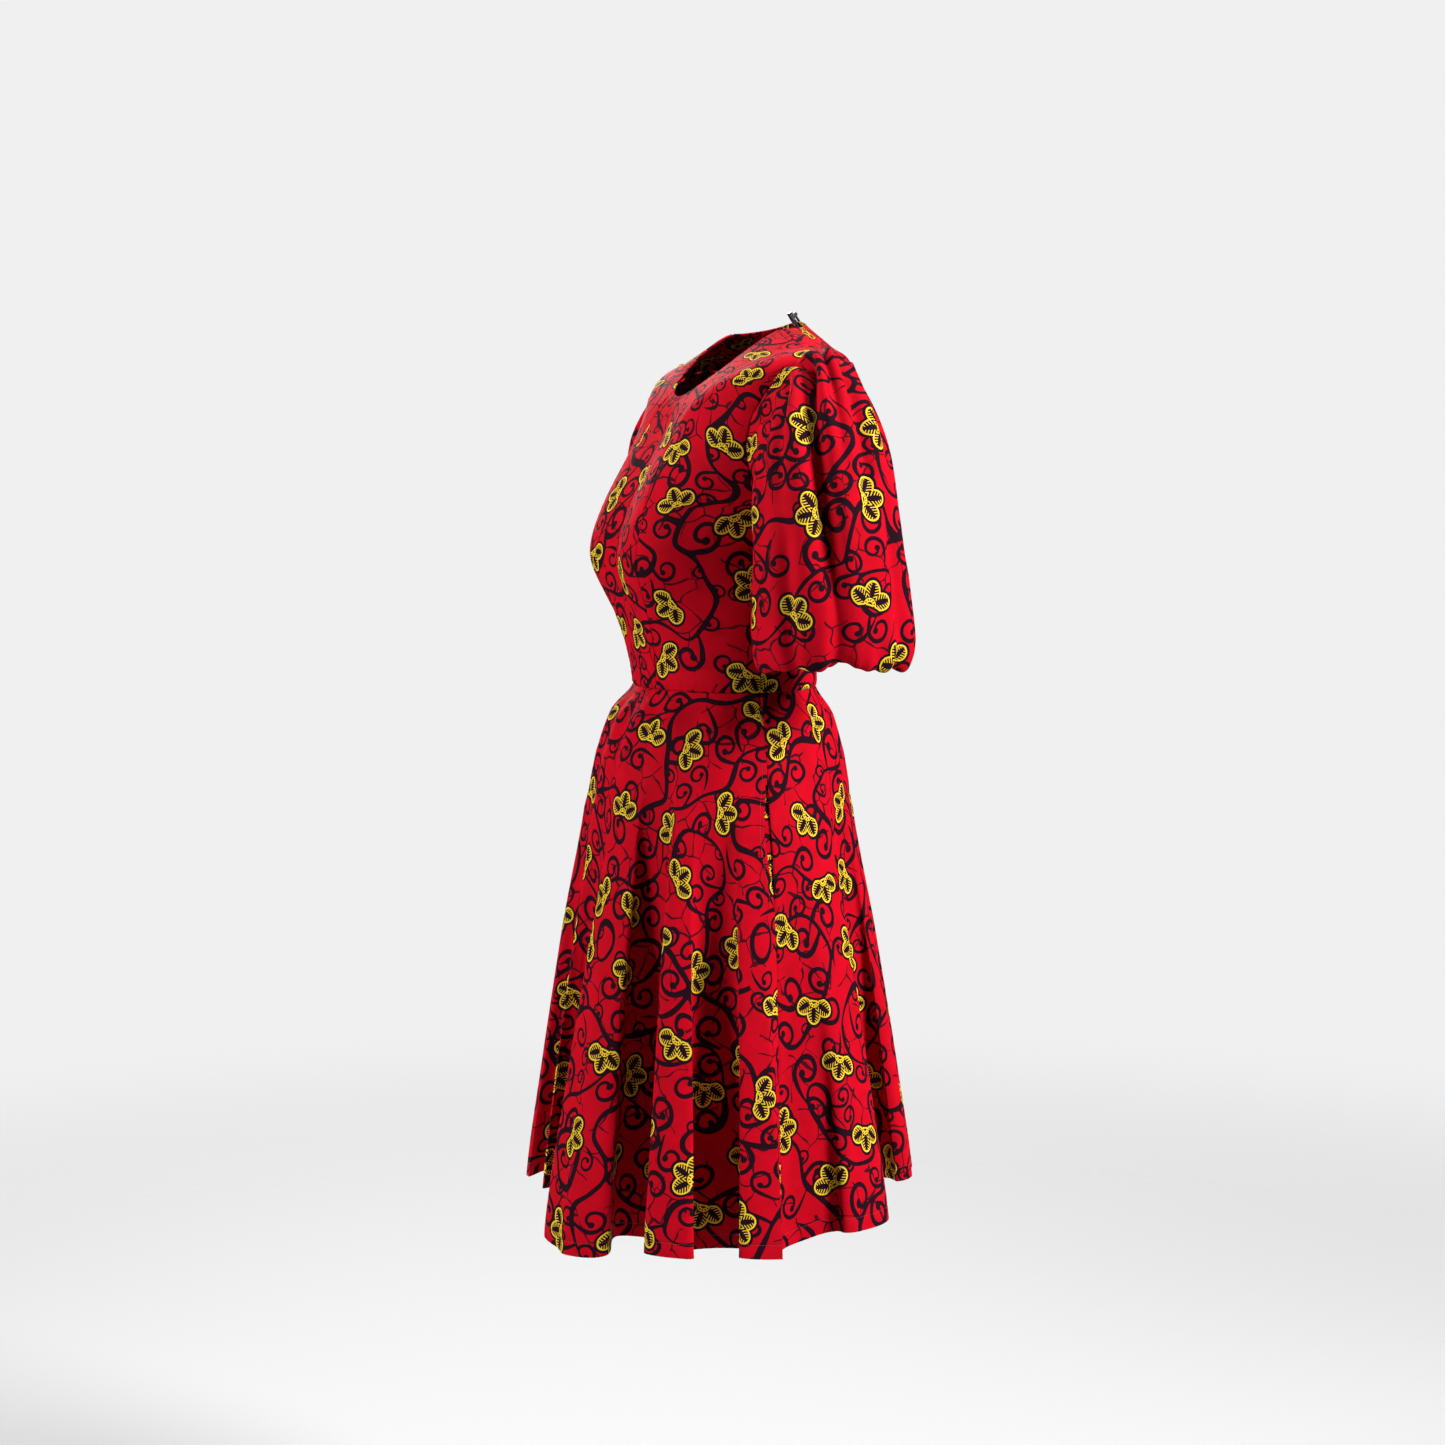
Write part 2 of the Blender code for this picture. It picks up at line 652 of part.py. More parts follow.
def build_slider(metal, collection, helpers):
    """The slider above the neckline and its hinged pull. Both stand in the back seam's own slope."""
    top = bodice_point(BACK_ANGLE, NECK_LEVEL)
    below = bodice_point(BACK_ANGLE, NECK_LEVEL - 1)
    down = (below - top).normalized()
    slope = math.atan2(down.y, -down.z)
    outward = Vector((0, math.cos(slope), math.sin(slope)))
    pin_out = SLIDER_DEPTH / 2 + EYE_RADIUS + HINGE_GAP
    pin_height = SLIDER_HEIGHT * 0.42
    base = top - down * (ZIP_RISE + HINGE_GAP) - outward * (WALL + BEHIND_GAP + ZIP_TAPE / 2)
    hinge = base - down * pin_height + outward * pin_out

    body = box(
        "zip_slider",
        (SLIDER_WIDTH, SLIDER_DEPTH, SLIDER_HEIGHT),
        (0, -pin_out, SLIDER_HEIGHT / 2 - pin_height),
        collection,
    )
    ear_x = EYE_LENGTH / 2 + HINGE_GAP + EAR_THICKNESS / 2
    ear_depth = pin_out - SLIDER_DEPTH / 4 + PIN_RADIUS * 1.6
    for side in (-1, 1):
        ear = box(
            f"ear_{side + 1}",
            (EAR_THICKNESS, ear_depth, PIN_RADIUS * 3.4),
            (side * ear_x, PIN_RADIUS * 1.6 - ear_depth / 2, 0),
            helpers,
        )
        ear.parent = body
        combine(body, ear, "UNION")
    pin = rod("pin", PIN_RADIUS, 2 * ear_x, helpers)
    pin.parent = body
    combine(body, pin, "UNION")
    body.data.materials.append(metal)
    body.location = hinge
    body.rotation_euler = (slope, 0, 0)

    pull = rod("zip_pull", EYE_RADIUS, EYE_LENGTH, collection)
    tab = bpy.data.objects.new("tab", pull_tab(helpers))
    helpers.objects.link(tab)
    tab.parent = pull
    combine(pull, tab, "UNION")
    bore = rod("bore", EYE_BORE, 2 * EYE_LENGTH, helpers)
    bore.parent = pull
    combine(pull, bore, "DIFFERENCE")
    pull.data.materials.append(metal)
    pull.location = hinge
    pull.rotation_euler = (slope, 0, 0)


def clear_scene():
    for item in list(bpy.data.objects):
        bpy.data.objects.remove(item)


def new_collection(name):
    collection = bpy.data.collections.new(name)
    bpy.context.scene.collection.children.link(collection)
    return collection


def main():
    clear_scene()
    dress = new_collection("wax_print_dress")
    helpers = new_collection("helpers")
    cloth = material_of("wax_print_cotton", RED, 0.75, 0.0)
    tape = material_of("zip_tape", BLACK, 0.8, 0.0)
    metal = material_of("zip_metal", BLACK, 0.35, 0.8)
    build_bodice(cloth, dress)
    build_skirt(cloth, dress)
    build_sleeves(cloth, dress)
    build_pockets(cloth, dress)
    build_zip_tape(tape, dress)
    build_slider(metal, dress, helpers)


main()
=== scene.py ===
"""The looks of a knee-length wax print dress with puff sleeves, princess seams and side pockets.

Every cloth piece repeats its solid's form from the same named sizes, at a finer step, with the
creases, turned hems and seam lines that sewing leaves. Units are metres and the front faces -Y.
"""

import math
from collections import namedtuple

import bpy
import numpy as np
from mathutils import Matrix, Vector


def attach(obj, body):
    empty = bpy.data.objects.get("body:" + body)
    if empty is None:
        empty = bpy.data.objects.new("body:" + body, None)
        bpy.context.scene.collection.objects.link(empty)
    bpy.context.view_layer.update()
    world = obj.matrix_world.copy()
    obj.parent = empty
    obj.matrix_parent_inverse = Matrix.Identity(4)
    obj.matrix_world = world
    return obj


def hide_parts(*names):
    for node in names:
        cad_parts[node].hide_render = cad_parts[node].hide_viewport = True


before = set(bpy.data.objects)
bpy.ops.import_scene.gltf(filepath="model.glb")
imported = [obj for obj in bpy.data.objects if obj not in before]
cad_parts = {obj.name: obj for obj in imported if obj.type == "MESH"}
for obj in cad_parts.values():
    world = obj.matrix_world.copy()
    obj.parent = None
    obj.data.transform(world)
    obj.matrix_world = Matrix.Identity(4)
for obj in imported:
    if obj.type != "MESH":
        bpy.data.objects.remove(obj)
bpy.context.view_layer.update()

MM = 0.001
FULL_TURN = 2 * math.pi

# Camera, fitted to the photo's waist, hem and sleeve ellipses
CAMERA_AZIMUTH = 72.0
CAMERA_DISTANCE = 3.0
CAMERA_SIDE = -0.039
CAMERA_HEIGHT = -0.093
CAMERA_PITCH = 5.9
CAMERA_LENS = 70.5
CAMERA_SENSOR = 36.0
FLOOR_Z = -1.45
FLOOR_FULL = 0.7
FLOOR_REACH = 3.4
FLOOR_TONE = (0.44, 0.44, 0.44, 1)
BACKDROP = (0.87, 0.87, 0.875, 1)
SKY_LIGHT = 0.02

# Softboxes: distance towards the camera, to its right and up, in metres and watts
Softbox = namedtuple("Softbox", "name along across up size power")
SOFTBOXES = [
    Softbox("key", 1.6, 2.6, 1.1, 1.0, 248),
    Softbox("fill", 0.8, -2.8, 0.5, 1.1, 116),
    Softbox("top", -0.3, 0.2, 2.3, 1.1, 62),
    Softbox("back", -2.6, -0.6, 0.7, 1.4, 74),
]
LIGHT_AIM_Z = -0.40

# Bodice sections, from the waist seam (level 0) to the neckline (level 8)
BodiceRing = namedtuple("BodiceRing", "centre_y half_width front back z_front z_side z_back squareness")
BODICE_RINGS = [
    BodiceRing(-0.039, 0.118, 0.094, 0.093, -0.360, -0.360, -0.360, 2.10),
    BodiceRing(-0.036, 0.122, 0.103, 0.096, -0.318, -0.318, -0.318, 2.15),
    BodiceRing(-0.031, 0.131, 0.117, 0.101, -0.270, -0.270, -0.270, 2.20),
    BodiceRing(-0.023, 0.141, 0.131, 0.102, -0.222, -0.222, -0.222, 2.30),
    BodiceRing(-0.012, 0.148, 0.128, 0.094, -0.172, -0.170, -0.170, 2.45),
    BodiceRing(-0.004, 0.163, 0.114, 0.083, -0.124, -0.100, -0.110, 2.55),
    BodiceRing(0.000, 0.178, 0.100, 0.071, -0.087, -0.026, -0.046, 2.50),
    BodiceRing(-0.001, 0.130, 0.093, 0.061, -0.070, -0.007, -0.008, 2.30),
    BodiceRing(-0.003, 0.082, 0.085, 0.045, -0.058, 0.010, 0.021, 2.10),
]
WAIST_Z = BODICE_RINGS[0].z_side
END_DIP = 1.4
NECK_LEVEL = len(BODICE_RINGS) - 1
BUST_ANGLE = 31.0
BUST_SPREAD = 16.0
BUST_LIFT = 0.0245
BUST_Z = -0.218
BUST_ABOVE = 0.080
BUST_BELOW = 0.045
SIDE_ANGLE = 90.0
BACK_ANGLE = 180.0
ARMHOLE_LEVEL = 5.0
ARMHOLE_FRONT_CUT = 22.0
ARMHOLE_BACK_CUT = 24.0

# Princess seam, in degrees from centre front at each level
PrincessPoint = namedtuple("PrincessPoint", "level angle")
PRINCESS_SEAM = [
    PrincessPoint(0.0, 26.0),
    PrincessPoint(1.5, 30.0),
    PrincessPoint(3.0, 32.0),
    PrincessPoint(4.5, 28.0),
    PrincessPoint(6.0, 24.0),
    PrincessPoint(8.0, 20.0),
]

# Skirt: the outer line of its folds at each height
SkirtRow = namedtuple("SkirtRow", "z half_width half_depth centre_y")
SKIRT_ROWS = [
    SkirtRow(-0.360, 0.118, 0.094, -0.0395),
    SkirtRow(-0.390, 0.139, 0.114, -0.0430),
    SkirtRow(-0.430, 0.157, 0.127, -0.0450),
    SkirtRow(-0.490, 0.174, 0.140, -0.0460),
    SkirtRow(-0.620, 0.206, 0.164, -0.0455),
    SkirtRow(-0.760, 0.234, 0.187, -0.0445),
    SkirtRow(-0.912, 0.260, 0.208, -0.0440),
]
HEM_Z = SKIRT_ROWS[-1].z

# Each valley between two folds, as the solids have it. A depth below zero stands further out.
Valley = namedtuple("Valley", "angle before after depth top_z")
VALLEYS = [
    Valley(12.0, 10, 11, 0.052, -0.49),
    Valley(28.0, 14, 13, -0.018, -0.55),
    Valley(47.5, 13, 11, 0.076, -0.40),
    Valley(71.5, 12, 10, 0.060, -0.43),
    Valley(93.0, 10, 13, 0.032, -0.52),
    Valley(126.0, 14, 11, 0.062, -0.45),
    Valley(148.0, 11, 10, 0.050, -0.46),
    Valley(169.0, 11, 12, 0.054, -0.53),
    Valley(194.0, 13, 13, 0.060, -0.50),
    Valley(220.0, 13, 12, 0.066, -0.45),
    Valley(246.0, 13, 12, 0.058, -0.47),
    Valley(271.0, 12, 12, 0.050, -0.50),
    Valley(296.0, 13, 12, 0.068, -0.44),
    Valley(321.0, 12, 15, 0.064, -0.42),
    Valley(352.0, 14, 12, 0.046, -0.46),
]
VALLEY_SPREAD = 1.28
VALLEY_SHARPNESS = 1.55
VALLEY_GROWTH = 0.95
VALLEY_LEAN = 0.33

# The hem's height above its usual level in each direction
HemPoint = namedtuple("HemPoint", "angle rise")
HEM_LINE = [
    HemPoint(-10, 0.024),
    HemPoint(5, 0.022),
    HemPoint(15, -0.004),
    HemPoint(26, -0.013),
    HemPoint(60, -0.005),
    HemPoint(84, 0.000),
    HemPoint(97, 0.014),
    HemPoint(118, 0.025),
    HemPoint(132, 0.043),
    HemPoint(160, 0.030),
    HemPoint(192, 0.032),
    HemPoint(222, 0.020),
    HemPoint(262, 0.006),
    HemPoint(300, 0.002),
]
HEM_WOBBLE = 3.2 * MM
HEM_WOBBLE_POWER = 5
SKIRT_CUT_INNER = 0.173
SKIRT_CUT_SPREAD = 3.8

# Pockets in the side seams
MOUTH_TOP_Z = -0.425
MOUTH_BOTTOM_Z = -0.575
MOUTH_GAPE = 0.007
POCKET_TOP_DROP = 0.08
POCKET_BOTTOM_DROP = 0.48
POCKET_AHEAD = 18.0
POCKET_BEHIND = 7.0
POCKET_TOP_SHARE = 0.72
POCKET_ROUND = 0.12
POCKET_CORNER_AHEAD = 3.5
POCKET_CORNER_BEHIND = 3.0
POCKET_OUTER = 2.5 * MM
POCKET_INNER = 3.9 * MM
POCKET_CLOTH = 0.6 * MM
POCKET_RIPPLE = 0.25 * MM
POCKET_RIPPLE_AROUND = 1.3
POCKET_RIPPLE_DOWN = 30

# Sleeve sections, from the armhole (ring 0) to the gathered hem
SleeveRing = namedtuple("SleeveRing", "x y z tilt half_up half_deep")
SLEEVE_RINGS = [
    SleeveRing(0.1895, -0.004, -0.1005, 20.0, 0.086, 0.060),
    SleeveRing(0.2150, -0.009, -0.1450, 41.4, 0.088, 0.068),
    SleeveRing(0.2240, -0.006, -0.2025, 62.8, 0.081, 0.0735),
    SleeveRing(0.2220, -0.001, -0.2585, 80.2, 0.079, 0.0785),
    SleeveRing(0.2195, 0.003, -0.3020, 87.8, 0.0785, 0.0810),
    SleeveRing(0.2195, 0.003, -0.3240, 89.0, 0.0715, 0.0740),
    SleeveRing(0.2195, 0.003, -0.3205, 90.0, 0.0570, 0.0590),
]
SLEEVE_END = len(SLEEVE_RINGS)
HEAD_NARROWING = 0.28
HEAD_GATHERS = 7
HEAD_GATHER_DEPTH = 0.0034
HEAD_HALF_ANGLE = 63.0
HEAD_FADE = 2.1
HEM_GATHER_DEPTH = 0.0013
HEM_SWAY = 0.0035

# Long folds of the sleeve, in degrees around it and in steps from the armhole to the hem
SleeveFold = namedtuple("SleeveFold", "around lean depth width top bottom")
SLEEVE_FOLDS = [
    SleeveFold(28, -1.5, 0.0230, 9.0, 0.05, 4.6),
    SleeveFold(5, -0.5, 0.0110, 6.0, 0.05, 3.0),
    SleeveFold(-19, 1.5, 0.0140, 7.5, 0.05, 3.6),
    SleeveFold(50, 2.0, 0.0110, 6.5, 0.08, 3.2),
    SleeveFold(-44, -1.0, 0.0080, 8.0, 0.10, 3.0),
    SleeveFold(74, 1.0, 0.0060, 8.0, 0.20, 3.6),
    SleeveFold(-76, 2.0, 0.0065, 9.0, 0.20, 3.8),
    SleeveFold(118, -2.0, 0.0050, 10.0, 0.60, 4.0),
    SleeveFold(-128, 1.0, 0.0052, 11.0, 0.60, 3.8),
    SleeveFold(12, 1.0, 0.0075, 6.5, 2.8, 7.4),
    SleeveFold(58, -1.5, 0.0085, 7.5, 3.0, 7.4),
    SleeveFold(101, 1.0, 0.0065, 7.0, 2.8, 7.4),
    SleeveFold(148, 0.5, 0.0070, 9.0, 3.2, 7.4),
    SleeveFold(-31, -1.0, 0.0085, 7.5, 2.9, 7.4),
    SleeveFold(-68, 1.5, 0.0065, 7.0, 3.2, 7.4),
    SleeveFold(-109, -0.5, 0.0080, 9.0, 2.9, 7.4),
    SleeveFold(-160, 1.0, 0.0065, 8.0, 3.1, 7.4),
]

# How the sleeve's folds and gathers fade. A pair gives where a change starts and where it ends.
FOLD_TOP = (-0.175, 0.525)
FOLD_BOTTOM = 1.7
FOLD_BANK = 0.4
FOLD_BANK_WIDTH = 2.3
RIGHT_CHANGE = 1.3
FOLD_SIDE_SHIFT = 9
HEAD_START = (-0.16, 0.24)
HEM_GATHER_FROM = (3.6, 6.0)
FINE_HEAD_DEPTH = 1.0 * MM
FINE_HEAD_FADE = (1.43, 0.33)
FINE_HEAD_SIDE = (119, 49)
FINE_HEM_DEPTH = 0.7 * MM
FINE_HEM_FROM = (4.6, 5.8)
FINE_HEM_EVEN = 0.55
HEM_SWAY_FROM = (3.6, 5.4)
QUICK_SHARE = 0.7
SLEEVE_TURNED = (6.2, 6.6)
HEAD_TUCK = 0.12

# Waves round the body, in degrees, whose crests a slower wave pushes aside
Wave = namedtuple("Wave", "count start sway sway_count sway_start", defaults=[0, 0, 0])
HEM_WAVE = Wave(19, 0, 60, 2)
WAIST_RIPPLE = Wave(17, 0, 40, 3)
LOW_RIPPLE = Wave(29, 65)
LOW_RIPPLE_CHANGE = Wave(5, 110)
HEM_GATHER = Wave(12, 90, 75, 2, 40)
FINE_HEAD = Wave(17, 0, 70, 3)
FINE_HEM = Wave(23, 0, 150, 3)
FINE_HEM_CHANGE = Wave(2, 70)
SLOW_SWAY = Wave(3, 50)
QUICK_SWAY = Wave(7, 0)
HEAD_SIDE_SHIFT = 60
HEM_SIDE_SHIFT = 40

# Skirt ripples between the folds, in metres and in shares of the skirt's length
WAIST_RIPPLE_DEPTH = 1.8 * MM
WAIST_RIPPLE_FROM = (0.0, 0.05)
WAIST_RIPPLE_TO = (0.42, 0.06)
LOW_RIPPLE_DEPTH = 2.6 * MM
LOW_RIPPLE_FROM = (0.45, 0.85)

# Cloth and seams
CLOTH = 0.8 * MM
SEAM_GAP = 0.2 * MM
SKIRT_SEAM_GAP = 0.02 * MM
SEAM_SINK = 0.7 * MM
SEAM_ROLL = 1.1 * MM
PUCKER = 0.22 * MM
PUCKER_LENGTH = 9.0 * MM
PUCKER_REACH = 7.0 * MM
PUCKER_DRIFT = 1.7
PUCKER_DRIFT_LENGTH = 21.0 * MM
TURNING = 0.7 * MM
NECK_TURNED = (12 * MM, 4 * MM)
HEM_TURNED = (16 * MM, 8 * MM)
NECK_DENT = 0.5 * MM
HEM_DENT = 0.4 * MM
DENT_REACH = 1.0 * MM
SHARP_ANGLE = 50

# Creases of the bodice, from one point of the flat cut to another
Crease = namedtuple("Crease", "u0 v0 u1 v1 width height")
CREASE_BOW = 0.05
CREASE_FADE = 3.5
CREASE_END = 0.4
FRONT_CREASES = [
    Crease(-0.06, 0.015, 0.03, 0.022, 0.006, -0.0010),
    Crease(-0.02, 0.040, 0.06, 0.030, 0.007, 0.0010),
    Crease(-0.07, 0.085, -0.01, 0.060, 0.008, -0.0008),
    Crease(0.02, 0.250, 0.05, 0.290, 0.008, 0.0009),
]
SIDE_CREASES = [
    Crease(0.010, 0.020, 0.150, 0.010, 0.005, -0.0016),
    Crease(0.040, 0.038, 0.170, 0.026, 0.006, 0.0016),
    Crease(0.080, 0.064, 0.190, 0.044, 0.006, -0.0013),
    Crease(0.070, 0.165, 0.135, 0.215, 0.008, 0.0018),
    Crease(0.060, 0.190, 0.115, 0.250, 0.006, -0.0015),
    Crease(0.100, 0.130, 0.170, 0.172, 0.007, -0.0013),
    Crease(0.010, 0.300, 0.070, 0.330, 0.009, 0.0012),
]
BACK_CREASES = [
    Crease(-0.175, 0.020, -0.040, 0.012, 0.006, -0.0016),
    Crease(-0.150, 0.042, -0.010, 0.034, 0.007, 0.0017),
    Crease(-0.130, 0.072, -0.015, 0.060, 0.008, -0.0015),
    Crease(-0.165, 0.150, -0.090, 0.200, 0.009, 0.0016),
    Crease(-0.120, 0.220, -0.060, 0.280, 0.009, -0.0013),
]

# Grid rows and columns, closer together where cloth turns or is sewn
SHORTEST = 1e-12
ANGLE_STEP = 0.05
HEIGHT_STEP = 0.002
EDGE_SHARES = [0.0, 0.0015, 0.004, 0.008, 0.014]
EDGE_INSIDE = 0.022
BODICE_ROWS = 104
NECK_LEVELS = np.linspace(7.66, 7.98, 17)
FRONT_COLUMNS = 58
SIDE_COLUMNS = 56
BACK_COLUMNS = 66
SKIRT_ROW_COUNT = 98
WAIST_DROPS = [0.0, 0.0015, 0.004, 0.008]
SKIRT_INSIDE = (0.016, 0.958)
SKIRT_LONG = 0.55
HEM_DROPS = np.array([0.0, 0.6, 1.6, 4.0, 8.0, 12.0, 13.2, 14.0, 14.8, 16.0, 19.0]) * MM / SKIRT_LONG
SKIRT_FRONT_COLUMNS = 370
SKIRT_BACK_COLUMNS = 185
EVEN_SAMPLES = 2400
EVEN_DROP = 0.8
EVEN_WEIGHT = 0.7
POCKET_ROWS = 44
POCKET_COLUMNS = 30
SLEEVE_COLUMNS = 224
SLEEVE_SEAM_STEPS = [0, 0.012, 0.03, 0.06]
SLEEVE_FIRST_STEP = 0.1
SLEEVE_ROW_COUNT = 112
CHART_STEP = 4
CHART_ROUNDS = 700
CHART_PUSH = 0.25

# Where each piece is cut from the printed cloth, in metres
CUT_FROM = {
    "bodice_front": (0.31, 0.12),
    "bodice_side_front_left": (0.72, 0.23),
    "bodice_side_front_right": (1.13, 0.40),
    "bodice_back_left": (1.74, 0.66),
    "bodice_back_right": (2.31, 0.91),
    "skirt_front": (3.1, 2.0),
    "skirt_back_left": (5.2, 2.4),
    "skirt_back_right": (6.9, 1.3),
    "pocket_left": (0.2, 4.4),
    "pocket_right": (-0.2, 4.4),
    "sleeve_left": (9.0, 0.5),
    "sleeve_right": (10.3, 1.7),
}

# Print, drawn on the flat cloth
DEEP_RED = (0.34, 0.0003, 0.0062, 1)
BRIGHT_RED = (0.51, 0.0005, 0.0105, 1)
INK = (0.011, 0.002, 0.006, 1)
YELLOW = (0.69, 0.46, 0.024, 1)
PRINT_DRIFT_SCALE = 14.0
PRINT_DRIFT = 0.014
VINE_SCALE = 14.0
VINE_SWAY_SCALE = 8.5
VINE_SWAY_LEVEL = 0.46
VINE_SWAY = 0.30
VINE_STEADY = 1.3
VINE_WIDTH_SCALE = 26.0
VINE_THIN = 0.7 * MM
VINE_THICKENING = 3.0 * MM
JOINT_BLEND = 2.8 * MM
STEP = 1.0 * MM
CURL_CELLS = 28.0
CURL_SCATTER = 0.52
CURL_STEADY = 0.4
CURL_IN = 5.6 * MM
CURL_OUT = 14.5 * MM
CURL_MOST = 1.15
CURL_LEAST = 0.42
CURL_ROOM = 1.0 * MM
STEM_OVERLAP = 5.0 * MM
BALL = 3.7 * MM
CURL_THIN = 1.7 * MM
CURL_THICK = 2.6 * MM
TAIL_LEAN = 9.0
TAIL_LONG = 30.0 * MM
FLOWER_CELLS = 12.4
FLOWER_SCATTER = 0.46
FLOWER_SIZE = 0.98
FLOWER_OUTLINE = 2.5 * MM
FLOWER_RIM = 0.75 * MM
PETAL_STEP = math.radians(61)
PETAL_WIDE = 8.8 * MM
PETAL_LONG = 11.0 * MM
PETAL_OUT = 13.2 * MM
SPINE = 2.8 * MM
VEIN_SPACING = 3.0 * MM
VEIN_SLANT = 0.55
VEIN_GAP = 0.42
HUB_DOWN = 7.0 * MM
HUB_RADIUS = 6.9 * MM
HUB_CORE = 3.1 * MM
DOT_RING = 5.1 * MM
DOT_HALF = 0.9 * MM
DOT_COUNT = 11.0
DOT_GAP = 0.25
CUT_RADIUS = 34.0 * MM
CUT_TOP = -7.6 * MM
CRACKLE_CELLS = 36.0
CRACKLE_DRIFT_SCALE = 42.0
CRACKLE_DRIFT = 0.014
CRACKLE_DRIFT_DETAIL = 0.6
CRACKLE_WIDTH_SCALE = 90.0
CRACKLE_THIN = 0.004
CRACKLE_THICKENING = 0.055
CRACKLE_PATCHES = 22.0
CRACKLE_BARE = 0.42
CRACKLE_STRENGTH = 0.9
MOTTLE_SCALE = 55.0
THREAD_SPACING = 0.55 * MM
WEAVE_SHADE = 0.06
SLUB_SCALE = 420.0
SLUB_HEIGHT = 1.5
BUMP_DEPTH = 0.0002

# Sewing threads and the zip
THREAD_DARK = (0.13, 0.001, 0.003, 1)
THREAD_LIGHT = (0.25, 0.002, 0.006, 1)
TWIST_LENGTH = 0.35 * MM
TWIST_SLANT = (1.0, 0.8, 1.3)
STITCH = 2.3 * MM
STITCH_STEP = 3.0 * MM
THREAD = 0.24 * MM
StitchPoint = namedtuple("StitchPoint", "share rise radius")
STITCH_POINTS = [
    StitchPoint(0.0, -0.6, 0.5),
    StitchPoint(0.25, 0.5, 1.0),
    StitchPoint(0.75, 0.5, 1.0),
    StitchPoint(1.0, -0.6, 0.5),
]
HEM_STITCH = 14.0 * MM
NECK_STITCH = 6.5 * MM
MOUTH_STITCH = 5.0 * MM
TAPE_STITCH = 8.5 * MM
TAPE_DARK = (0.012, 0.010, 0.014, 1)
TAPE_LIGHT = (0.035, 0.028, 0.04, 1)
TAPE_WEAVE = 0.8 * MM
ENAMEL_DARK = (0.016, 0.014, 0.018, 1)
ENAMEL_WORN = (0.05, 0.045, 0.05, 1)
ENAMEL_SCALE = 900.0
METAL_SHARP_ANGLE = 35
ZIP_LEVELS = (-0.05, 0.02, 260)
ZIP_DROPS = (0.004, 0.235, 90)
ZIP_BEHIND = 0.03
TAPE_INSIDE = 3.3 * MM
COIL_PITCH = 1.25 * MM
COIL_STEPS = 8
COIL_WIRE = 0.24 * MM
COIL_MIDDLE = 0.95 * MM
COIL_REACH = 1.15 * MM
COIL_RISE = 0.55 * MM


def rows_between(table, position):
    """Every column of a table at fractional rows, by Catmull-Rom curves."""
    values = np.array(table, float)
    position = np.clip(position, 0, len(values) - 1)
    first = np.minimum(position.astype(int), len(values) - 2)
    t = (position - first)[..., None]
    a, b, c, d = (values[np.clip(first + k, 0, len(values) - 1)] for k in (-1, 0, 1, 2))
    slope_b = (c - a) / 2
    slope_c = (d - b) / 2
    cubic = (3 * (c - b) - 2 * slope_b - slope_c) * t**2 + (2 * (b - c) + slope_b + slope_c) * t**3
    return b + slope_b * t + cubic


def row_at(table, key, value):
    """Fractional row where a column has this value."""
    column = np.array([getattr(row, key) for row in table])
    order = np.argsort(column)
    return np.interp(value, column[order], np.arange(len(column))[order])


def ramp(value, start, end):
    """0 before start and 1 past end, with a smooth change between them."""
    share = np.clip((value - start) / (end - start), 0, 1)
    return share * share * (3 - 2 * share)


def bell(distance, reach):
    """1 at no distance, fading out past this reach."""
    return np.exp(-((distance / reach) ** 2))


def uneven_wave(angle, wave, shift=0.0):
    """A wave round the body whose crests stand at uneven distances."""
    sway = wave.sway * np.sin(np.radians(angle * wave.sway_count + wave.sway_start))
    return np.sin(np.radians(angle * wave.count + wave.start + shift + sway))


def turned(angle):
    """The same angle between -180 and 180 degrees."""
    return (angle + 180.0) % 360.0 - 180.0


def unit(vectors):
    return vectors / np.maximum(np.linalg.norm(vectors, axis=-1, keepdims=True), SHORTEST)


def bodice_surface(angle, level):
    """Points of the bodice's outer face. Angle 0 is centre front and 90 the left side."""
    ring = np.moveaxis(rows_between(BODICE_RINGS, level), -1, 0)
    centre_y, half_width, front, back, z_front, z_side, z_back, power = ring
    side = np.sin(np.radians(angle))
    ahead = np.cos(np.radians(angle))
    depth = np.where(ahead > 0, front, back)
    end_z = np.where(ahead > 0, z_front, z_back)
    radius = (np.abs(side / half_width) ** power + np.abs(ahead / depth) ** power) ** (-1 / power)
    z = z_side + (end_z - z_side) * np.abs(ahead) ** END_DIP
    height = np.where(z > BUST_Z, BUST_ABOVE, BUST_BELOW)
    around = np.exp(-0.5 * ((np.abs(turned(angle)) - BUST_ANGLE) / BUST_SPREAD) ** 2)
    radius = radius + BUST_LIFT * around * np.exp(-0.5 * ((z - BUST_Z) / height) ** 2)
    return np.stack([radius * side, centre_y - radius * ahead, z], -1)


def hem_rise(angle):
    """How far the hem lies above its usual level in these directions."""
    first = HEM_LINE[0]
    angle = (angle - first.angle) % 360 + first.angle
    rise = np.zeros_like(angle)
    for a, b in zip(HEM_LINE, HEM_LINE[1:] + [HemPoint(first.angle + 360, first.rise)]):
        here = (angle >= a.angle) & (angle <= b.angle)
        rise = np.where(here, a.rise + (b.rise - a.rise) * ramp(angle, a.angle, b.angle), rise)
    return rise


def valley_shape(valley, angle, z):
    """Where points lie in a valley: side, share of its reach, and how far it has grown."""
    away = turned(angle - valley.angle)
    reach = np.where(away > 0, valley.after, valley.before) * VALLEY_SPREAD
    grown = np.clip((valley.top_z - z) / (valley.top_z - HEM_Z), 0, None) ** VALLEY_GROWTH
    return np.sign(away), np.clip(np.abs(away) / reach, 0, 1), grown


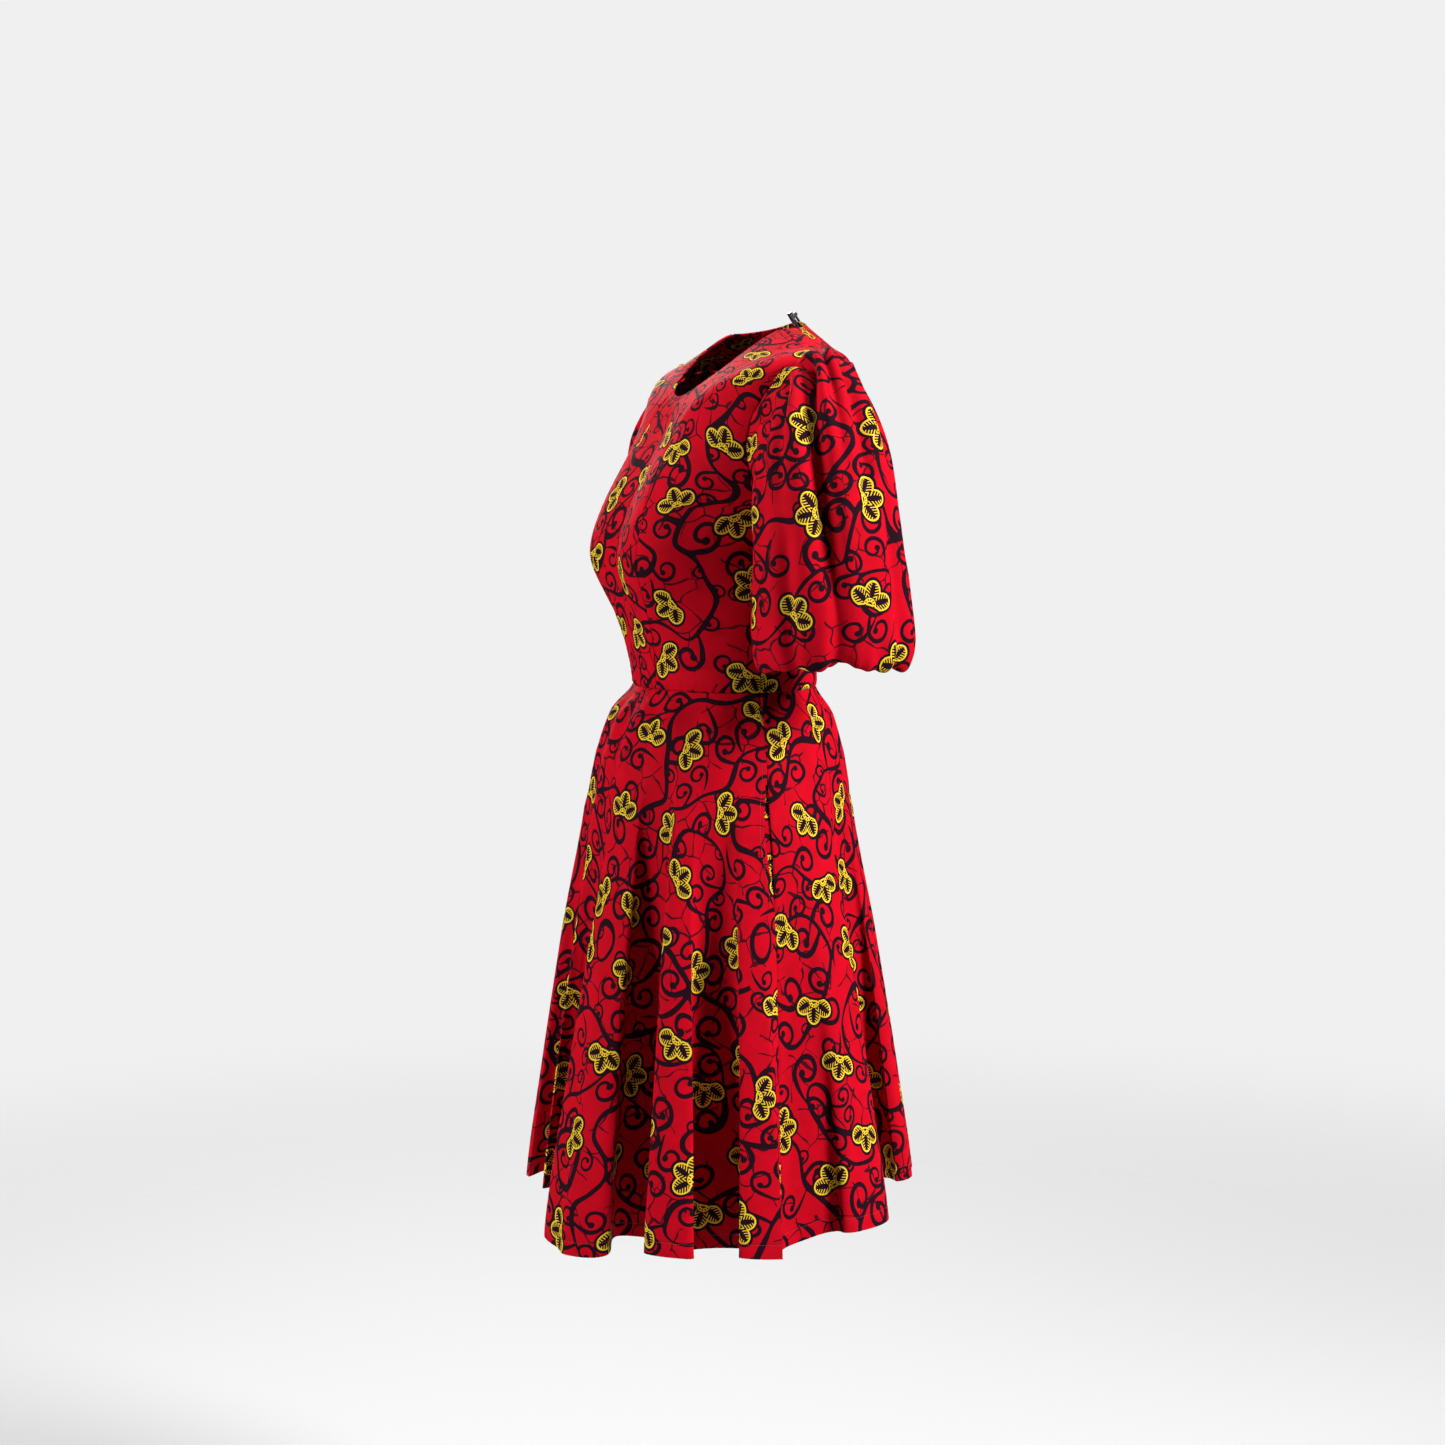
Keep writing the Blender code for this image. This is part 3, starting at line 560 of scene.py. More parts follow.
def fold_depth_and_lean(angle, z):
    """How far the valleys reach in, and how far the folds beside them roll over them, in metres."""
    depth = np.zeros_like(angle)
    lean = np.zeros_like(angle)
    for valley in VALLEYS:
        side, near, grown = valley_shape(valley, angle, z)
        depth += valley.depth * grown * (0.5 + 0.5 * np.cos(math.pi * near)) ** VALLEY_SHARPNESS
        lean += side * max(valley.depth, 0) * grown * VALLEY_LEAN * np.sin(FULL_TURN * near)
    return depth, lean


def skirt_surface(angle, drop):
    """Points of the skirt's outer face. Drop is 0 at the waist seam and 1 at the hem."""
    z = WAIST_Z + (HEM_Z + hem_rise(angle) - WAIST_Z) * drop
    z = z + HEM_WOBBLE * drop**HEM_WOBBLE_POWER * uneven_wave(angle, HEM_WAVE)
    row = np.moveaxis(rows_between(SKIRT_ROWS, row_at(SKIRT_ROWS, "z", z)), -1, 0)
    _, half_width, half_depth, centre_y = row
    side = np.sin(np.radians(angle))
    ahead = np.cos(np.radians(angle))
    outer = 1 / np.sqrt((side / half_width) ** 2 + (ahead / half_depth) ** 2)
    depth, lean = fold_depth_and_lean(angle, z)
    radius = outer - depth
    return np.stack([radius * side + lean * ahead, centre_y - radius * ahead + lean * side, z], -1)


def armhole_line(around):
    """The armhole's seam line. Around is 0 at the shoulder and 90 in front."""
    forward = np.sin(np.radians(around))
    depth = np.where(forward > 0, ARMHOLE_FRONT_CUT, ARMHOLE_BACK_CUT)
    return bodice_surface(SIDE_ANGLE - depth * forward, ARMHOLE_LEVEL + np.cos(np.radians(around)))


def sleeve_sections(around):
    """Every section of the left sleeve, stacked from the armhole to the hem."""
    up = np.cos(np.radians(around))
    forward = np.sin(np.radians(around))
    rings = [armhole_line(around)]
    for index, ring in enumerate(SLEEVE_RINGS):
        narrowing = HEAD_NARROWING if index == 0 else 0.0
        tilt = math.radians(ring.tilt)
        x = ring.x + ring.half_up * up * math.sin(tilt)
        y = ring.y - ring.half_deep * forward * (1 - narrowing * np.maximum(0.0, up))
        z = ring.z + ring.half_up * up * math.cos(tilt)
        rings.append(np.stack([x, y, z], -1))
    return np.array(rings)


def surface_normals(surface, angle, height, sign):
    """Unit normals of a surface function at these places, out of the part where sign fits."""
    across = surface(angle + ANGLE_STEP, height) - surface(angle - ANGLE_STEP, height)
    along = surface(angle, height + HEIGHT_STEP) - surface(angle, height - HEIGHT_STEP)
    return unit(np.cross(across, along) * sign)


def ring_normals(points):
    """Outward unit normals of closed rings of points."""
    across = np.roll(points, -1, 1) - np.roll(points, 1, 1)
    return unit(np.cross(across, np.gradient(points, axis=0)))


def run_lengths(points, axis):
    """Length along a grid's rows or columns, from its first line."""
    steps = np.linalg.norm(np.diff(points, axis=axis), axis=-1)
    first = np.zeros_like(np.take(steps, [0], axis=axis))
    return np.concatenate([first, np.cumsum(steps, axis=axis)], axis=axis)


def line_lengths(line):
    return run_lengths(line[None], 1)[0]


def places_at(spots, run, line):
    """Points of a line at these lengths along it."""
    return np.stack([np.interp(spots, run, line[:, axis]) for axis in range(3)], -1)


def crease_lift(flat, creases):
    """Height of soft creases that run along short lines of the flat cloth."""
    lift = np.zeros(flat.shape[:2])
    for crease in creases:
        start = np.array([crease.u0, crease.v0])
        line = np.array([crease.u1, crease.v1]) - start
        length = np.linalg.norm(line)
        along = ((flat - start) @ line) / length**2
        off = (flat - start) @ np.array([-line[1], line[0]]) / length
        off = off - CREASE_BOW * length * np.sin(math.pi * np.clip(along, 0, 1))
        fade = ramp(along * CREASE_FADE + CREASE_END, 0, 1)
        fade = fade * ramp((1 - along) * CREASE_FADE + CREASE_END, 0, 1)
        lift += crease.height * fade * bell(off, crease.width)
    return lift


def seam_lift(distance, run):
    """The small sink and pucker of cloth along a seam at this distance."""
    drift = PUCKER_DRIFT * np.sin(run / PUCKER_DRIFT_LENGTH)
    wave = np.sin(FULL_TURN * run / PUCKER_LENGTH + drift)
    return PUCKER * wave * bell(distance, PUCKER_REACH) - SEAM_SINK * bell(distance, SEAM_ROLL)


def side_seams(across, along):
    """The lift of cloth along both side edges and the first row of a piece."""
    return seam_lift(across, along) + seam_lift(across[:, -1:] - across, along) + seam_lift(along, across)


def angles_between(low, high, share):
    """Rows of angles that run from one line of angles to another, at these shares of the way."""
    return low[:, None] + (high - low)[:, None] * share


def cloth_grid(surface, angle, height, sign):
    """A surface's points and normals on rows of these heights, and the lengths across and along."""
    height = np.repeat(height[:, None], angle.shape[1], 1)
    points = surface(angle, height)
    normal = surface_normals(surface, angle, height, sign)
    return points, normal, run_lengths(points, 1), run_lengths(points, 0)


def pull_sides(points, gap):
    """Draws a grid's first and last columns half a seam gap inwards."""
    points = points.copy()
    for end, inside in ((0, 3), (-1, -4)):
        points[:, end] += unit(points[:, inside] - points[:, end]) * gap
    return points


def edge_wall(edge, count):
    """Faces between an edge of the outer grid and the same edge of the inner one."""
    return np.stack([edge[:-1], edge[1:], edge[1:] + count, edge[:-1] + count], -1)


def grid_faces(index, count, ring):
    """Faces of a closed wall whose outer and inner grids share one numbering."""
    a, b, c, d = index[:-1, :-1], index[:-1, 1:], index[1:, 1:], index[1:, :-1]
    parts = [np.stack([a, b, c, d], -1), np.stack([a, d, c, b], -1) + count]
    edges = [index[0, ::-1], index[-1]]
    if not ring:
        edges += [index[:, 0], index[::-1, -1]]
    parts += [edge_wall(edge, count) for edge in edges]
    return np.concatenate([part.reshape(-1, 4) for part in parts])


def add_mesh(name, points, faces, material):
    mesh = bpy.data.meshes.new(name)
    mesh.from_pydata(points.tolist(), [], faces.tolist())
    mesh.shade_smooth()
    mesh.materials.append(material)
    item = bpy.data.objects.new(name, mesh)
    bpy.context.scene.collection.objects.link(item)
    return item


def flat_size(flat):
    """Width, length and area of a piece's cut, from its flat grid."""
    p = flat[1:, 1:] - flat[:-1, :-1]
    q = flat[1:, :-1] - flat[:-1, 1:]
    area = float(np.abs(p[..., 0] * q[..., 1] - p[..., 1] * q[..., 0]).sum() / 2)
    low, high = flat.reshape(-1, 2).min(0), flat.reshape(-1, 2).max(0)
    width, length = (float(x) for x in high - low)
    return width, length, min(area, width * length)


def add_cloth(name, node, face, back, flat, material, held, rests_on, ring=False, mirror=False):
    """A thin closed shell of cloth between two grids, with its flat cut as the UV map."""
    points = np.concatenate([face.reshape(-1, 3), back.reshape(-1, 3)])
    count = face.shape[0] * face.shape[1]
    index = np.arange(count).reshape(face.shape[:2])
    if ring:
        index = np.concatenate([index, index[:, :1]], 1)
    faces = grid_faces(index, count, ring)
    chart = np.arange(flat.size // 2).reshape(flat.shape[:2])
    corners = grid_faces(chart, chart.size, ring)
    spots = np.tile(flat.reshape(-1, 2), (2, 1)) + np.array(CUT_FROM[node])
    if mirror:
        points = points * np.array([-1, 1, 1])
        faces = faces[:, ::-1]
        corners = corners[:, ::-1]
    item = add_mesh(name, points, faces, material)
    layer = item.data.uv_layers.new(name="flat")
    layer.data.foreach_set("uv", spots[corners.reshape(-1)].ravel())
    item.data.set_sharp_from_angle(angle=math.radians(SHARP_ANGLE))
    width, length, area = flat_size(flat)
    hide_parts(node)
    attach(item, "dress")


def edged(count):
    """Shares from 0 to 1, closer together at both ends."""
    inside = np.linspace(EDGE_INSIDE, 1 - EDGE_INSIDE, count)
    ends = np.array(EDGE_SHARES)
    return np.concatenate([ends, inside, 1 - ends[::-1]])


def line_at(points, distance, want):
    """The line over a grid's columns where a distance from its last row has this value."""
    columns = range(points.shape[1])
    lines = [places_at(want, distance[::-1, column], points[::-1, column]) for column in columns]
    return np.array(lines)


def stitch_line(face, normal, distance, want):
    """The line at this distance from a grid's last row, with the way out of the cloth."""
    return line_at(face, distance, want), line_at(normal, distance, want)


def tubes(paths, upward, radius):
    """Points and faces of four-sided closed tubes along paths of like length."""
    way = np.gradient(paths, axis=1)
    side = unit(np.cross(way, upward))
    rise = unit(np.cross(side, way))
    corners = [side + rise, rise - side, -side - rise, side - rise]
    ring = np.stack([paths + corner * radius[:, None] for corner in corners], 2)
    index = np.arange(ring.size // 3).reshape(ring.shape[:3])
    after = np.roll(index, -1, 2)
    walls = np.stack([index[:, :-1], index[:, 1:], after[:, 1:], after[:, :-1]], -1)
    faces = np.concatenate([walls.reshape(-1, 4), index[:, 0], index[:, -1, ::-1]])
    return ring.reshape(-1, 3), faces


def add_tubes(name, paths, upward, radius, material):
    points, faces = tubes(paths, upward, radius)
    item = add_mesh(name, points, faces, material)
    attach(item, "dress")


def add_stitches(name, lines, material):
    """Rows of machine stitches along lines of points, each given with the way out of the cloth."""
    share, rise, radius = np.array(STITCH_POINTS).T
    paths = []
    upward = []
    for line, out in lines:
        run = line_lengths(line)
        starts = np.arange(STITCH_STEP / 2, run[-1] - STITCH, STITCH_STEP)
        spots = starts[:, None] + share * STITCH
        away = places_at(spots, run, out)
        paths.append(places_at(spots, run, line) + away * (rise * THREAD)[:, None])
        upward.append(away)
    paths = np.concatenate(paths)
    add_tubes(name, paths, np.concatenate(upward), radius * THREAD, material)


def princess_line(level):
    return rows_between(PRINCESS_SEAM, row_at(PRINCESS_SEAM, "level", level))[..., 1]


def far_princess_line(level):
    return -princess_line(level)


def armhole_cut(level, depth):
    return depth * np.sqrt(np.clip(1 - (level - ARMHOLE_LEVEL) ** 2, 0, None))


def front_edge(level):
    return SIDE_ANGLE - armhole_cut(level, ARMHOLE_FRONT_CUT)


def back_edge(level):
    return SIDE_ANGLE + armhole_cut(level, ARMHOLE_BACK_CUT)


def centre_back(level):
    return np.full_like(level, BACK_ANGLE)


# Bodice panels between two seam lines. The cut is drawn from the anchor, a share of the width.
Panel = namedtuple("Panel", "start end columns anchor creases")
FRONT_PANEL = Panel(far_princess_line, princess_line, FRONT_COLUMNS, 0.5, FRONT_CREASES)
SIDE_PANEL = Panel(princess_line, front_edge, SIDE_COLUMNS, 0.0, SIDE_CREASES)
BACK_PANEL = Panel(back_edge, centre_back, BACK_COLUMNS, 1.0, BACK_CREASES)


def build_panel(name, node, panel, material, mirror=False):
    """One bodice panel. Its stitched line beside the neck is given back, with the way out."""
    extra = [ARMHOLE_LEVEL - 1, ARMHOLE_LEVEL + 1]
    level = np.sort(np.concatenate([edged(BODICE_ROWS) * NECK_LEVEL, extra, NECK_LEVELS]))
    angle = angles_between(panel.start(level), panel.end(level), edged(panel.columns))
    points, normal, across, along = cloth_grid(bodice_surface, angle, level, 1)
    flat = np.stack([across - across[:, -1:] * panel.anchor, along], -1)
    top = along[-1:] - along
    lift = crease_lift(flat, panel.creases) + side_seams(across, along)
    lift -= NECK_DENT * bell(top - NECK_STITCH, DENT_REACH)
    thick = CLOTH + TURNING * ramp(top, *NECK_TURNED)
    face = pull_sides(points + normal * lift[..., None], SEAM_GAP)
    back = face - normal * thick[..., None]
    add_cloth(name, node, face, back, flat, material, "stretched", [node], mirror=mirror)
    flip = np.array([-1 if mirror else 1, 1, 1])
    line, out = stitch_line(face, normal, top, NECK_STITCH)
    return line * flip, out * flip


def build_bodice(cloth, thread):
    neckline = [build_panel("cloth_bodice_front", "bodice_front", FRONT_PANEL, cloth)]
    for side, mirror in (("left", False), ("right", True)):
        for place, panel in (("side_front", SIDE_PANEL), ("back", BACK_PANEL)):
            name = f"{place}_{side}"
            neckline.append(build_panel(f"cloth_{name}", f"bodice_{name}", panel, cloth, mirror))
    add_stitches("neckline_stitches", neckline, thread)


def small_folds(angle, drop):
    """Shallow uneven ripples between the large folds, strongest under the waist seam."""
    upper = ramp(drop, *WAIST_RIPPLE_FROM) * ramp(drop, *WAIST_RIPPLE_TO)
    low = uneven_wave(angle, LOW_RIPPLE) * uneven_wave(angle, LOW_RIPPLE_CHANGE)
    lift = WAIST_RIPPLE_DEPTH * uneven_wave(angle, WAIST_RIPPLE) * upper
    return lift + LOW_RIPPLE_DEPTH * low * ramp(drop, *LOW_RIPPLE_FROM)


def gape_angle(side, drop):
    """How far the front edge of a pocket mouth stands from the side seam, in degrees."""
    x, y, z = skirt_surface(np.full_like(drop, side), drop).T
    share = np.clip((MOUTH_TOP_Z - z) / (MOUTH_TOP_Z - MOUTH_BOTTOM_Z), 0, 1)
    gape = MOUTH_GAPE * np.sin(math.pi * share) ** 2
    return np.degrees(gape / np.hypot(x, y))


def skirt_chart(across, down, spread):
    """The flat cut of a skirt piece: a part of a ring whose inner edge is the waist."""
    turn = (across / across[:, -1:] - 0.5) * spread
    reach = SKIRT_CUT_INNER + down.mean(1, keepdims=True)
    return np.stack([reach * np.sin(turn), -reach * np.cos(turn)], -1)


def build_skirt_piece(node, angles, drop, spread, material):
    """One skirt piece. Its stitched lines at the hem and at the pocket mouths are given back."""
    points, normal, across, down = cloth_grid(skirt_surface, angles, drop, -1)
    up = down[-1:] - down
    flat = skirt_chart(across, down, spread)
    lift = small_folds(angles, drop[:, None]) + side_seams(across, down)
    lift -= HEM_DENT * bell(up - HEM_STITCH, DENT_REACH)
    thick = CLOTH + TURNING * ramp(up, *HEM_TURNED)
    face = pull_sides(points + normal * lift[..., None], SKIRT_SEAM_GAP)
    face[0] += unit(face[3] - face[0]) * SEAM_GAP
    back = face - normal * thick[..., None]
    add_cloth(f"cloth_{node}", node, face[::-1], back[::-1], flat[::-1], material, "hung", [node])
    mouths = [
        mouth_seam(face, normal, across),
        mouth_seam(face[:, ::-1], normal[:, ::-1], across[:, -1:] - across[:, ::-1]),
    ]
    return stitch_line(face, normal, up, HEM_STITCH), mouths


def mouth_seam(face, normal, across):
    """The stitched line beside a pocket mouth, along a grid's first column."""
    face, normal, distance = (np.swapaxes(grid, 0, 1)[::-1] for grid in (face, normal, across))
    line, out = stitch_line(face, normal, distance, MOUTH_STITCH)
    inside = (line[:, 2] < MOUTH_TOP_Z) & (line[:, 2] > MOUTH_BOTTOM_Z)
    return line[inside], out[inside]


def even_shares(start, end, count):
    """Shares of an angle that give columns of like width along the folded hem."""
    angle = np.linspace(start, end, EVEN_SAMPLES)
    length = line_lengths(skirt_surface(angle, np.full_like(angle, EVEN_DROP)))
    plain = np.linspace(0, 1, EVEN_SAMPLES)
    blend = EVEN_WEIGHT * length / length[-1] + (1 - EVEN_WEIGHT) * plain
    return np.interp(edged(count), blend, plain)


def build_skirt(cloth, thread):
    inside = np.linspace(*SKIRT_INSIDE, SKIRT_ROW_COUNT)
    drop = np.concatenate([WAIST_DROPS, inside, 1 - HEM_DROPS[::-1]])
    left = SIDE_ANGLE - gape_angle(SIDE_ANGLE, drop)
    right = -SIDE_ANGLE + gape_angle(-SIDE_ANGLE, drop)
    share = even_shares(-SIDE_ANGLE, SIDE_ANGLE, SKIRT_FRONT_COLUMNS)
    angles = angles_between(right, left, share)
    seam, mouths = build_skirt_piece("skirt_front", angles, drop, SKIRT_CUT_SPREAD / 2, cloth)
    hems = [seam]
    for node, start in (("skirt_back_left", SIDE_ANGLE), ("skirt_back_right", BACK_ANGLE)):
        share = even_shares(start, start + SIDE_ANGLE, SKIRT_BACK_COLUMNS)
        angles = np.repeat((start + SIDE_ANGLE * share)[None, :], len(drop), 0)
        seam, _ = build_skirt_piece(node, angles, drop, SKIRT_CUT_SPREAD / 4, cloth)
        hems.append(seam)
    add_stitches("hem_stitches", hems, thread)
    add_stitches("pocket_mouth_stitches", mouths, thread)


def build_pockets(cloth):
    """Two layers of cloth behind each side seam, from before it to behind it."""
    drop = np.linspace(POCKET_TOP_DROP, POCKET_BOTTOM_DROP, POCKET_ROWS)
    low = ramp(drop, POCKET_BOTTOM_DROP - POCKET_ROUND, POCKET_BOTTOM_DROP)
    wide = ramp(drop, POCKET_TOP_DROP, POCKET_TOP_DROP + POCKET_ROUND)
    ahead = POCKET_AHEAD * (POCKET_TOP_SHARE + (1 - POCKET_TOP_SHARE) * wide) - POCKET_CORNER_AHEAD * low
    behind = POCKET_BEHIND - POCKET_CORNER_BEHIND * low
    share = np.linspace(0, 1, POCKET_COLUMNS)
    left = angles_between(SIDE_ANGLE - ahead, SIDE_ANGLE + behind, share)
    for side, angle in (("left", left), ("right", -left)):
        points, normal, across, down = cloth_grid(skirt_surface, angle, drop, -1)
        ripple = np.sin(angle * POCKET_RIPPLE_AROUND + drop[:, None] * POCKET_RIPPLE_DOWN)
        flat = np.stack([across, down], -1)
        for layer, depth in (("outer", POCKET_OUTER), ("inner", POCKET_INNER)):
            face = points - normal * (depth + POCKET_RIPPLE * ripple)[..., None]
            grids = [face, face - normal * POCKET_CLOTH, flat]
            if side == "left":
                grids = [grid[::-1] for grid in grids]
            name = f"cloth_pocket_{side}_{layer}"
            add_cloth(name, f"pocket_{side}", *grids, cloth, "hung", [f"cloth_skirt_back_{side}"])


def gather_push(around, step):
    """How far the gathers at the head and at the hem push the sleeve out or in."""
    head = HEAD_GATHER_DEPTH * np.cos(math.pi * HEAD_GATHERS * around / HEAD_HALF_ANGLE)
    head = head * ramp(step, HEAD_FADE, 0) * ramp(step, *HEAD_START)
    head = head * ramp(np.abs(around), HEAD_HALF_ANGLE, HEAD_HALF_ANGLE / 2)
    hem = HEM_GATHER_DEPTH * ramp(step, *HEM_GATHER_FROM) * uneven_wave(around, HEM_GATHER)
    return head + hem


def sleeve_creases(around, step, side):
    """The sleeve's long folds, and the fine uneven gathers at its head and hem."""
    lift = np.zeros_like(around)
    for fold in SLEEVE_FOLDS:
        middle = fold.around + fold.lean * step + FOLD_SIDE_SHIFT * side
        off = turned(around - middle) / fold.width
        fade = ramp(step - fold.top, *FOLD_TOP) * ramp(fold.bottom - step, 0, FOLD_BOTTOM)
        lift -= fold.depth * fade * (bell(off, 1) - FOLD_BANK * bell(off, FOLD_BANK_WIDTH))
    head = uneven_wave(around, FINE_HEAD, HEAD_SIDE_SHIFT * side)
    head = head * ramp(step, *FINE_HEAD_FADE) * ramp(np.abs(around), *FINE_HEAD_SIDE)
    change = FINE_HEM_EVEN + (1 - FINE_HEM_EVEN) * uneven_wave(around, FINE_HEM_CHANGE)
    hem = uneven_wave(around, FINE_HEM, HEM_SIDE_SHIFT * side) * change * ramp(step, *FINE_HEM_FROM)
    return lift + FINE_HEAD_DEPTH * head + FINE_HEM_DEPTH * hem


def sleeve_chart(points):
    """The sleeve's flat cut, drawn on a coarse grid until its lengths fit those of the cloth."""
    closed = np.concatenate([points, points[:, :1]], 1)
    last_row, last_column = closed.shape[0] - 1, closed.shape[1] - 1
    rows = np.append(np.arange(0, last_row, CHART_STEP), last_row)
    columns = np.arange(0, last_column + 1, CHART_STEP)
    coarse = closed[rows][:, columns]
    height = run_lengths(coarse, 0)
    width = run_lengths(coarse, 1)[len(rows) // 2, -1]
    across, down = np.broadcast_arrays(width * (columns / last_column - 0.5), height[-1:] - height)
    flat = np.stack([across, down], -1)
    for _ in range(CHART_ROUNDS):
        for below, right in ((0, 1), (1, 0), (1, 1), (1, -1)):
            fit_lengths(flat, coarse, below, right)
    wide = fill_between(flat, columns, last_column + 1)
    return np.swapaxes(fill_between(np.swapaxes(wide, 0, 1), rows, last_row + 1), 0, 1)


def fill_between(grid, known, count):
    """A grid's rows with values for every whole place between the known ones."""
    places = np.arange(count)
    rows = [[np.interp(places, known, row[:, axis]) for axis in (0, 1)] for row in grid]
    return np.moveaxis(np.array(rows), 1, -1)


def fit_lengths(flat, cloth, down, right):
    """Moves the ends of a grid's edges in one direction half way to the cloth's own lengths."""
    rows, columns = flat.shape[:2]
    first = (slice(0, rows - down), slice(max(0, -right), columns - max(0, right)))
    second = (slice(down, rows), slice(max(0, right), columns + min(0, right)))
    want = np.linalg.norm(cloth[second] - cloth[first], axis=-1)
    way = flat[second] - flat[first]
    length = np.linalg.norm(way, axis=-1)
    push = way * (CHART_PUSH * (1 - want / length))[..., None]
    flat[first] += push
    flat[second] -= push


def build_sleeves(cloth):
    columns = np.linspace(-180, 180, SLEEVE_COLUMNS + 1)[:-1]
    rows = np.linspace(SLEEVE_FIRST_STEP, SLEEVE_END, SLEEVE_ROW_COUNT)
    rows = np.concatenate([SLEEVE_SEAM_STEPS, rows])
    sections = sleeve_sections(columns)
    base = np.stack([rows_between(section, rows) for section in np.swapaxes(sections, 0, 1)], 1)
    normal = ring_normals(base)
    around, step = np.broadcast_arrays(columns[None, :], rows[:, None])
    seam = seam_lift(run_lengths(base, 0), run_lengths(base, 1))
    thick = CLOTH + TURNING * ramp(step, *SLEEVE_TURNED)
    for name, mirror, side in (("left", False, 0.0), ("right", True, RIGHT_CHANGE)):
        lift = gather_push(around, step) + sleeve_creases(around, step, side) + seam
        face = base + normal * lift[..., None]
        sway = uneven_wave(around, SLOW_SWAY, HEM_SIDE_SHIFT * side)
        sway = sway + QUICK_SHARE * uneven_wave(around, QUICK_SWAY)
        face[..., 2] += HEM_SWAY * sway * ramp(step, *HEM_SWAY_FROM)
        face[0] += (face[3] - face[0]) * HEAD_TUCK - normal[0] * SEAM_GAP
        back = face - normal * thick[..., None]
        flat = sleeve_chart(face)
        node = f"sleeve_{name}"
        rests_on = [f"cloth_side_front_{name}", f"cloth_back_{name}"]
        add_cloth(
            f"cloth_{node}", node, face, back, flat, cloth, "gathered", rests_on, ring=True, mirror=mirror
        )


class Value:
    """A number worked out by shader nodes, with which plain sums can be written."""

    def __init__(self, graph, socket):
        self.graph = graph
        self.socket = socket

    def __add__(self, other):
        return self.graph.math("ADD", self, other)

    def __sub__(self, other):
        return self.graph.math("SUBTRACT", self, other)

    def __rsub__(self, other):
        return self.graph.math("SUBTRACT", other, self)

    def __mul__(self, other):
        return self.graph.math("MULTIPLY", self, other)

    def __truediv__(self, other):
        return self.graph.math("DIVIDE", self, other)

    def __rtruediv__(self, other):
        return self.graph.math("DIVIDE", other, self)

    def __abs__(self):
        return self.graph.math("ABSOLUTE", self)

    def __lt__(self, other):
        return self.graph.math("LESS_THAN", self, other)

    def __gt__(self, other):
        return self.graph.math("GREATER_THAN", self, other)


class Graph:
    """Shader nodes of one material or world, each made with its inputs as numbers or links."""

    def __init__(self, owner):
        owner.use_nodes = True
        self.owner = owner
        self.tree = owner.node_tree

    def node(self, kind, *inputs, named=None, **settings):
        """A new node's outputs. Its inputs are given in their order or by name."""
        made = self.tree.nodes.new(kind)
        for name, value in settings.items():
            setattr(made, name, value)
        for place, value in [*enumerate(inputs), *(named or {}).items()]:
            self.give(made.inputs[place], value)
        return made.outputs

    def give(self, place, value):
        if isinstance(value, Value):
            value = value.socket
        if isinstance(value, bpy.types.NodeSocket):
            self.tree.links.new(value, place)
        elif value is not None:
            place.default_value = value

    def math(self, operation, *inputs):
        return Value(self, self.node("ShaderNodeMath", *inputs, operation=operation)[0])

    def least(self, first, second):
        return self.math("MINIMUM", first, second)

    def most(self, first, second):
        return self.math("MAXIMUM", first, second)

    def vector(self, operation, *inputs):
        return self.node("ShaderNodeVectorMath", *inputs, operation=operation)[0]

    def measure(self, operation, *inputs):
        """A length, distance or dot product of vectors."""
        return Value(self, self.node("ShaderNodeVectorMath", *inputs, operation=operation)["Value"])

    def scaled(self, vector, share):
        return self.vector("SCALE", vector, None, None, share)

    def parts(self, vector):
        """A vector's parts along X, Y and Z."""
        return [Value(self, part) for part in self.node("ShaderNodeSeparateXYZ", vector)]

    def joined(self, x, y):
        return self.node("ShaderNodeCombineXYZ", x, y, 0.0)[0]

    def mix(self, share, first, second):
        made = self.tree.nodes.new("ShaderNodeMix")
        made.data_type = "RGBA"
        for name, value in (("Factor_Float", share), ("A_Color", first), ("B_Color", second)):
            self.give(next(s for s in made.inputs if s.identifier == name), value)
        return next(s for s in made.outputs if s.identifier == "Result_Color")

    def noise(self, place, scale, detail=0.0, output=0):
        named = {"Vector": place, "Scale": scale, "Detail": detail}
        return Value(self, self.node("ShaderNodeTexNoise", named=named, noise_dimensions="2D")[output])

    def cells(self, place, scale, scatter, feature="F1"):
        named = {"Vector": place, "Scale": scale, "Randomness": scatter}
        return self.node("ShaderNodeTexVoronoi", named=named, voronoi_dimensions="2D", feature=feature)

    def chance(self, spot):
        """A number from 0 to 1 that belongs to one cell."""
        return Value(self, self.node("ShaderNodeSeparateColor", spot["Color"])[0])

    def drifted(self, place, scale, reach, detail=0.0):
        """A place moved a little by noise, so that drawn lines waver as printed ones do."""
        drift = self.vector("SUBTRACT", self.noise(place, scale, detail, "Color"), (0.5, 0.5, 0.5))
        return self.vector("ADD", place, self.vector("MULTIPLY", drift, (reach, reach, 0)))

    def finish(self, height=None, strength=0.0, **inputs):
        """Sets the shader's inputs, with bump from a height, and gives the material back."""
        if height is not None:
            named = {"Strength": strength, "Distance": BUMP_DEPTH, "Height": height}
            inputs["Normal"] = self.node("ShaderNodeBump", named=named)[0]
        for name, value in inputs.items():
            self.give(self.tree.nodes["Principled BSDF"].inputs[name.replace("_", " ")], value)
        return self.owner


def material_graph(name):
    return Graph(bpy.data.materials.new(name))


def vine_field(g, place):
    """A slow wandering height whose level lines the stems follow."""
    sway = g.noise(place, VINE_SWAY_SCALE) - VINE_SWAY_LEVEL
    return sway * VINE_SWAY + (g.noise(place, VINE_SCALE) - 0.5)


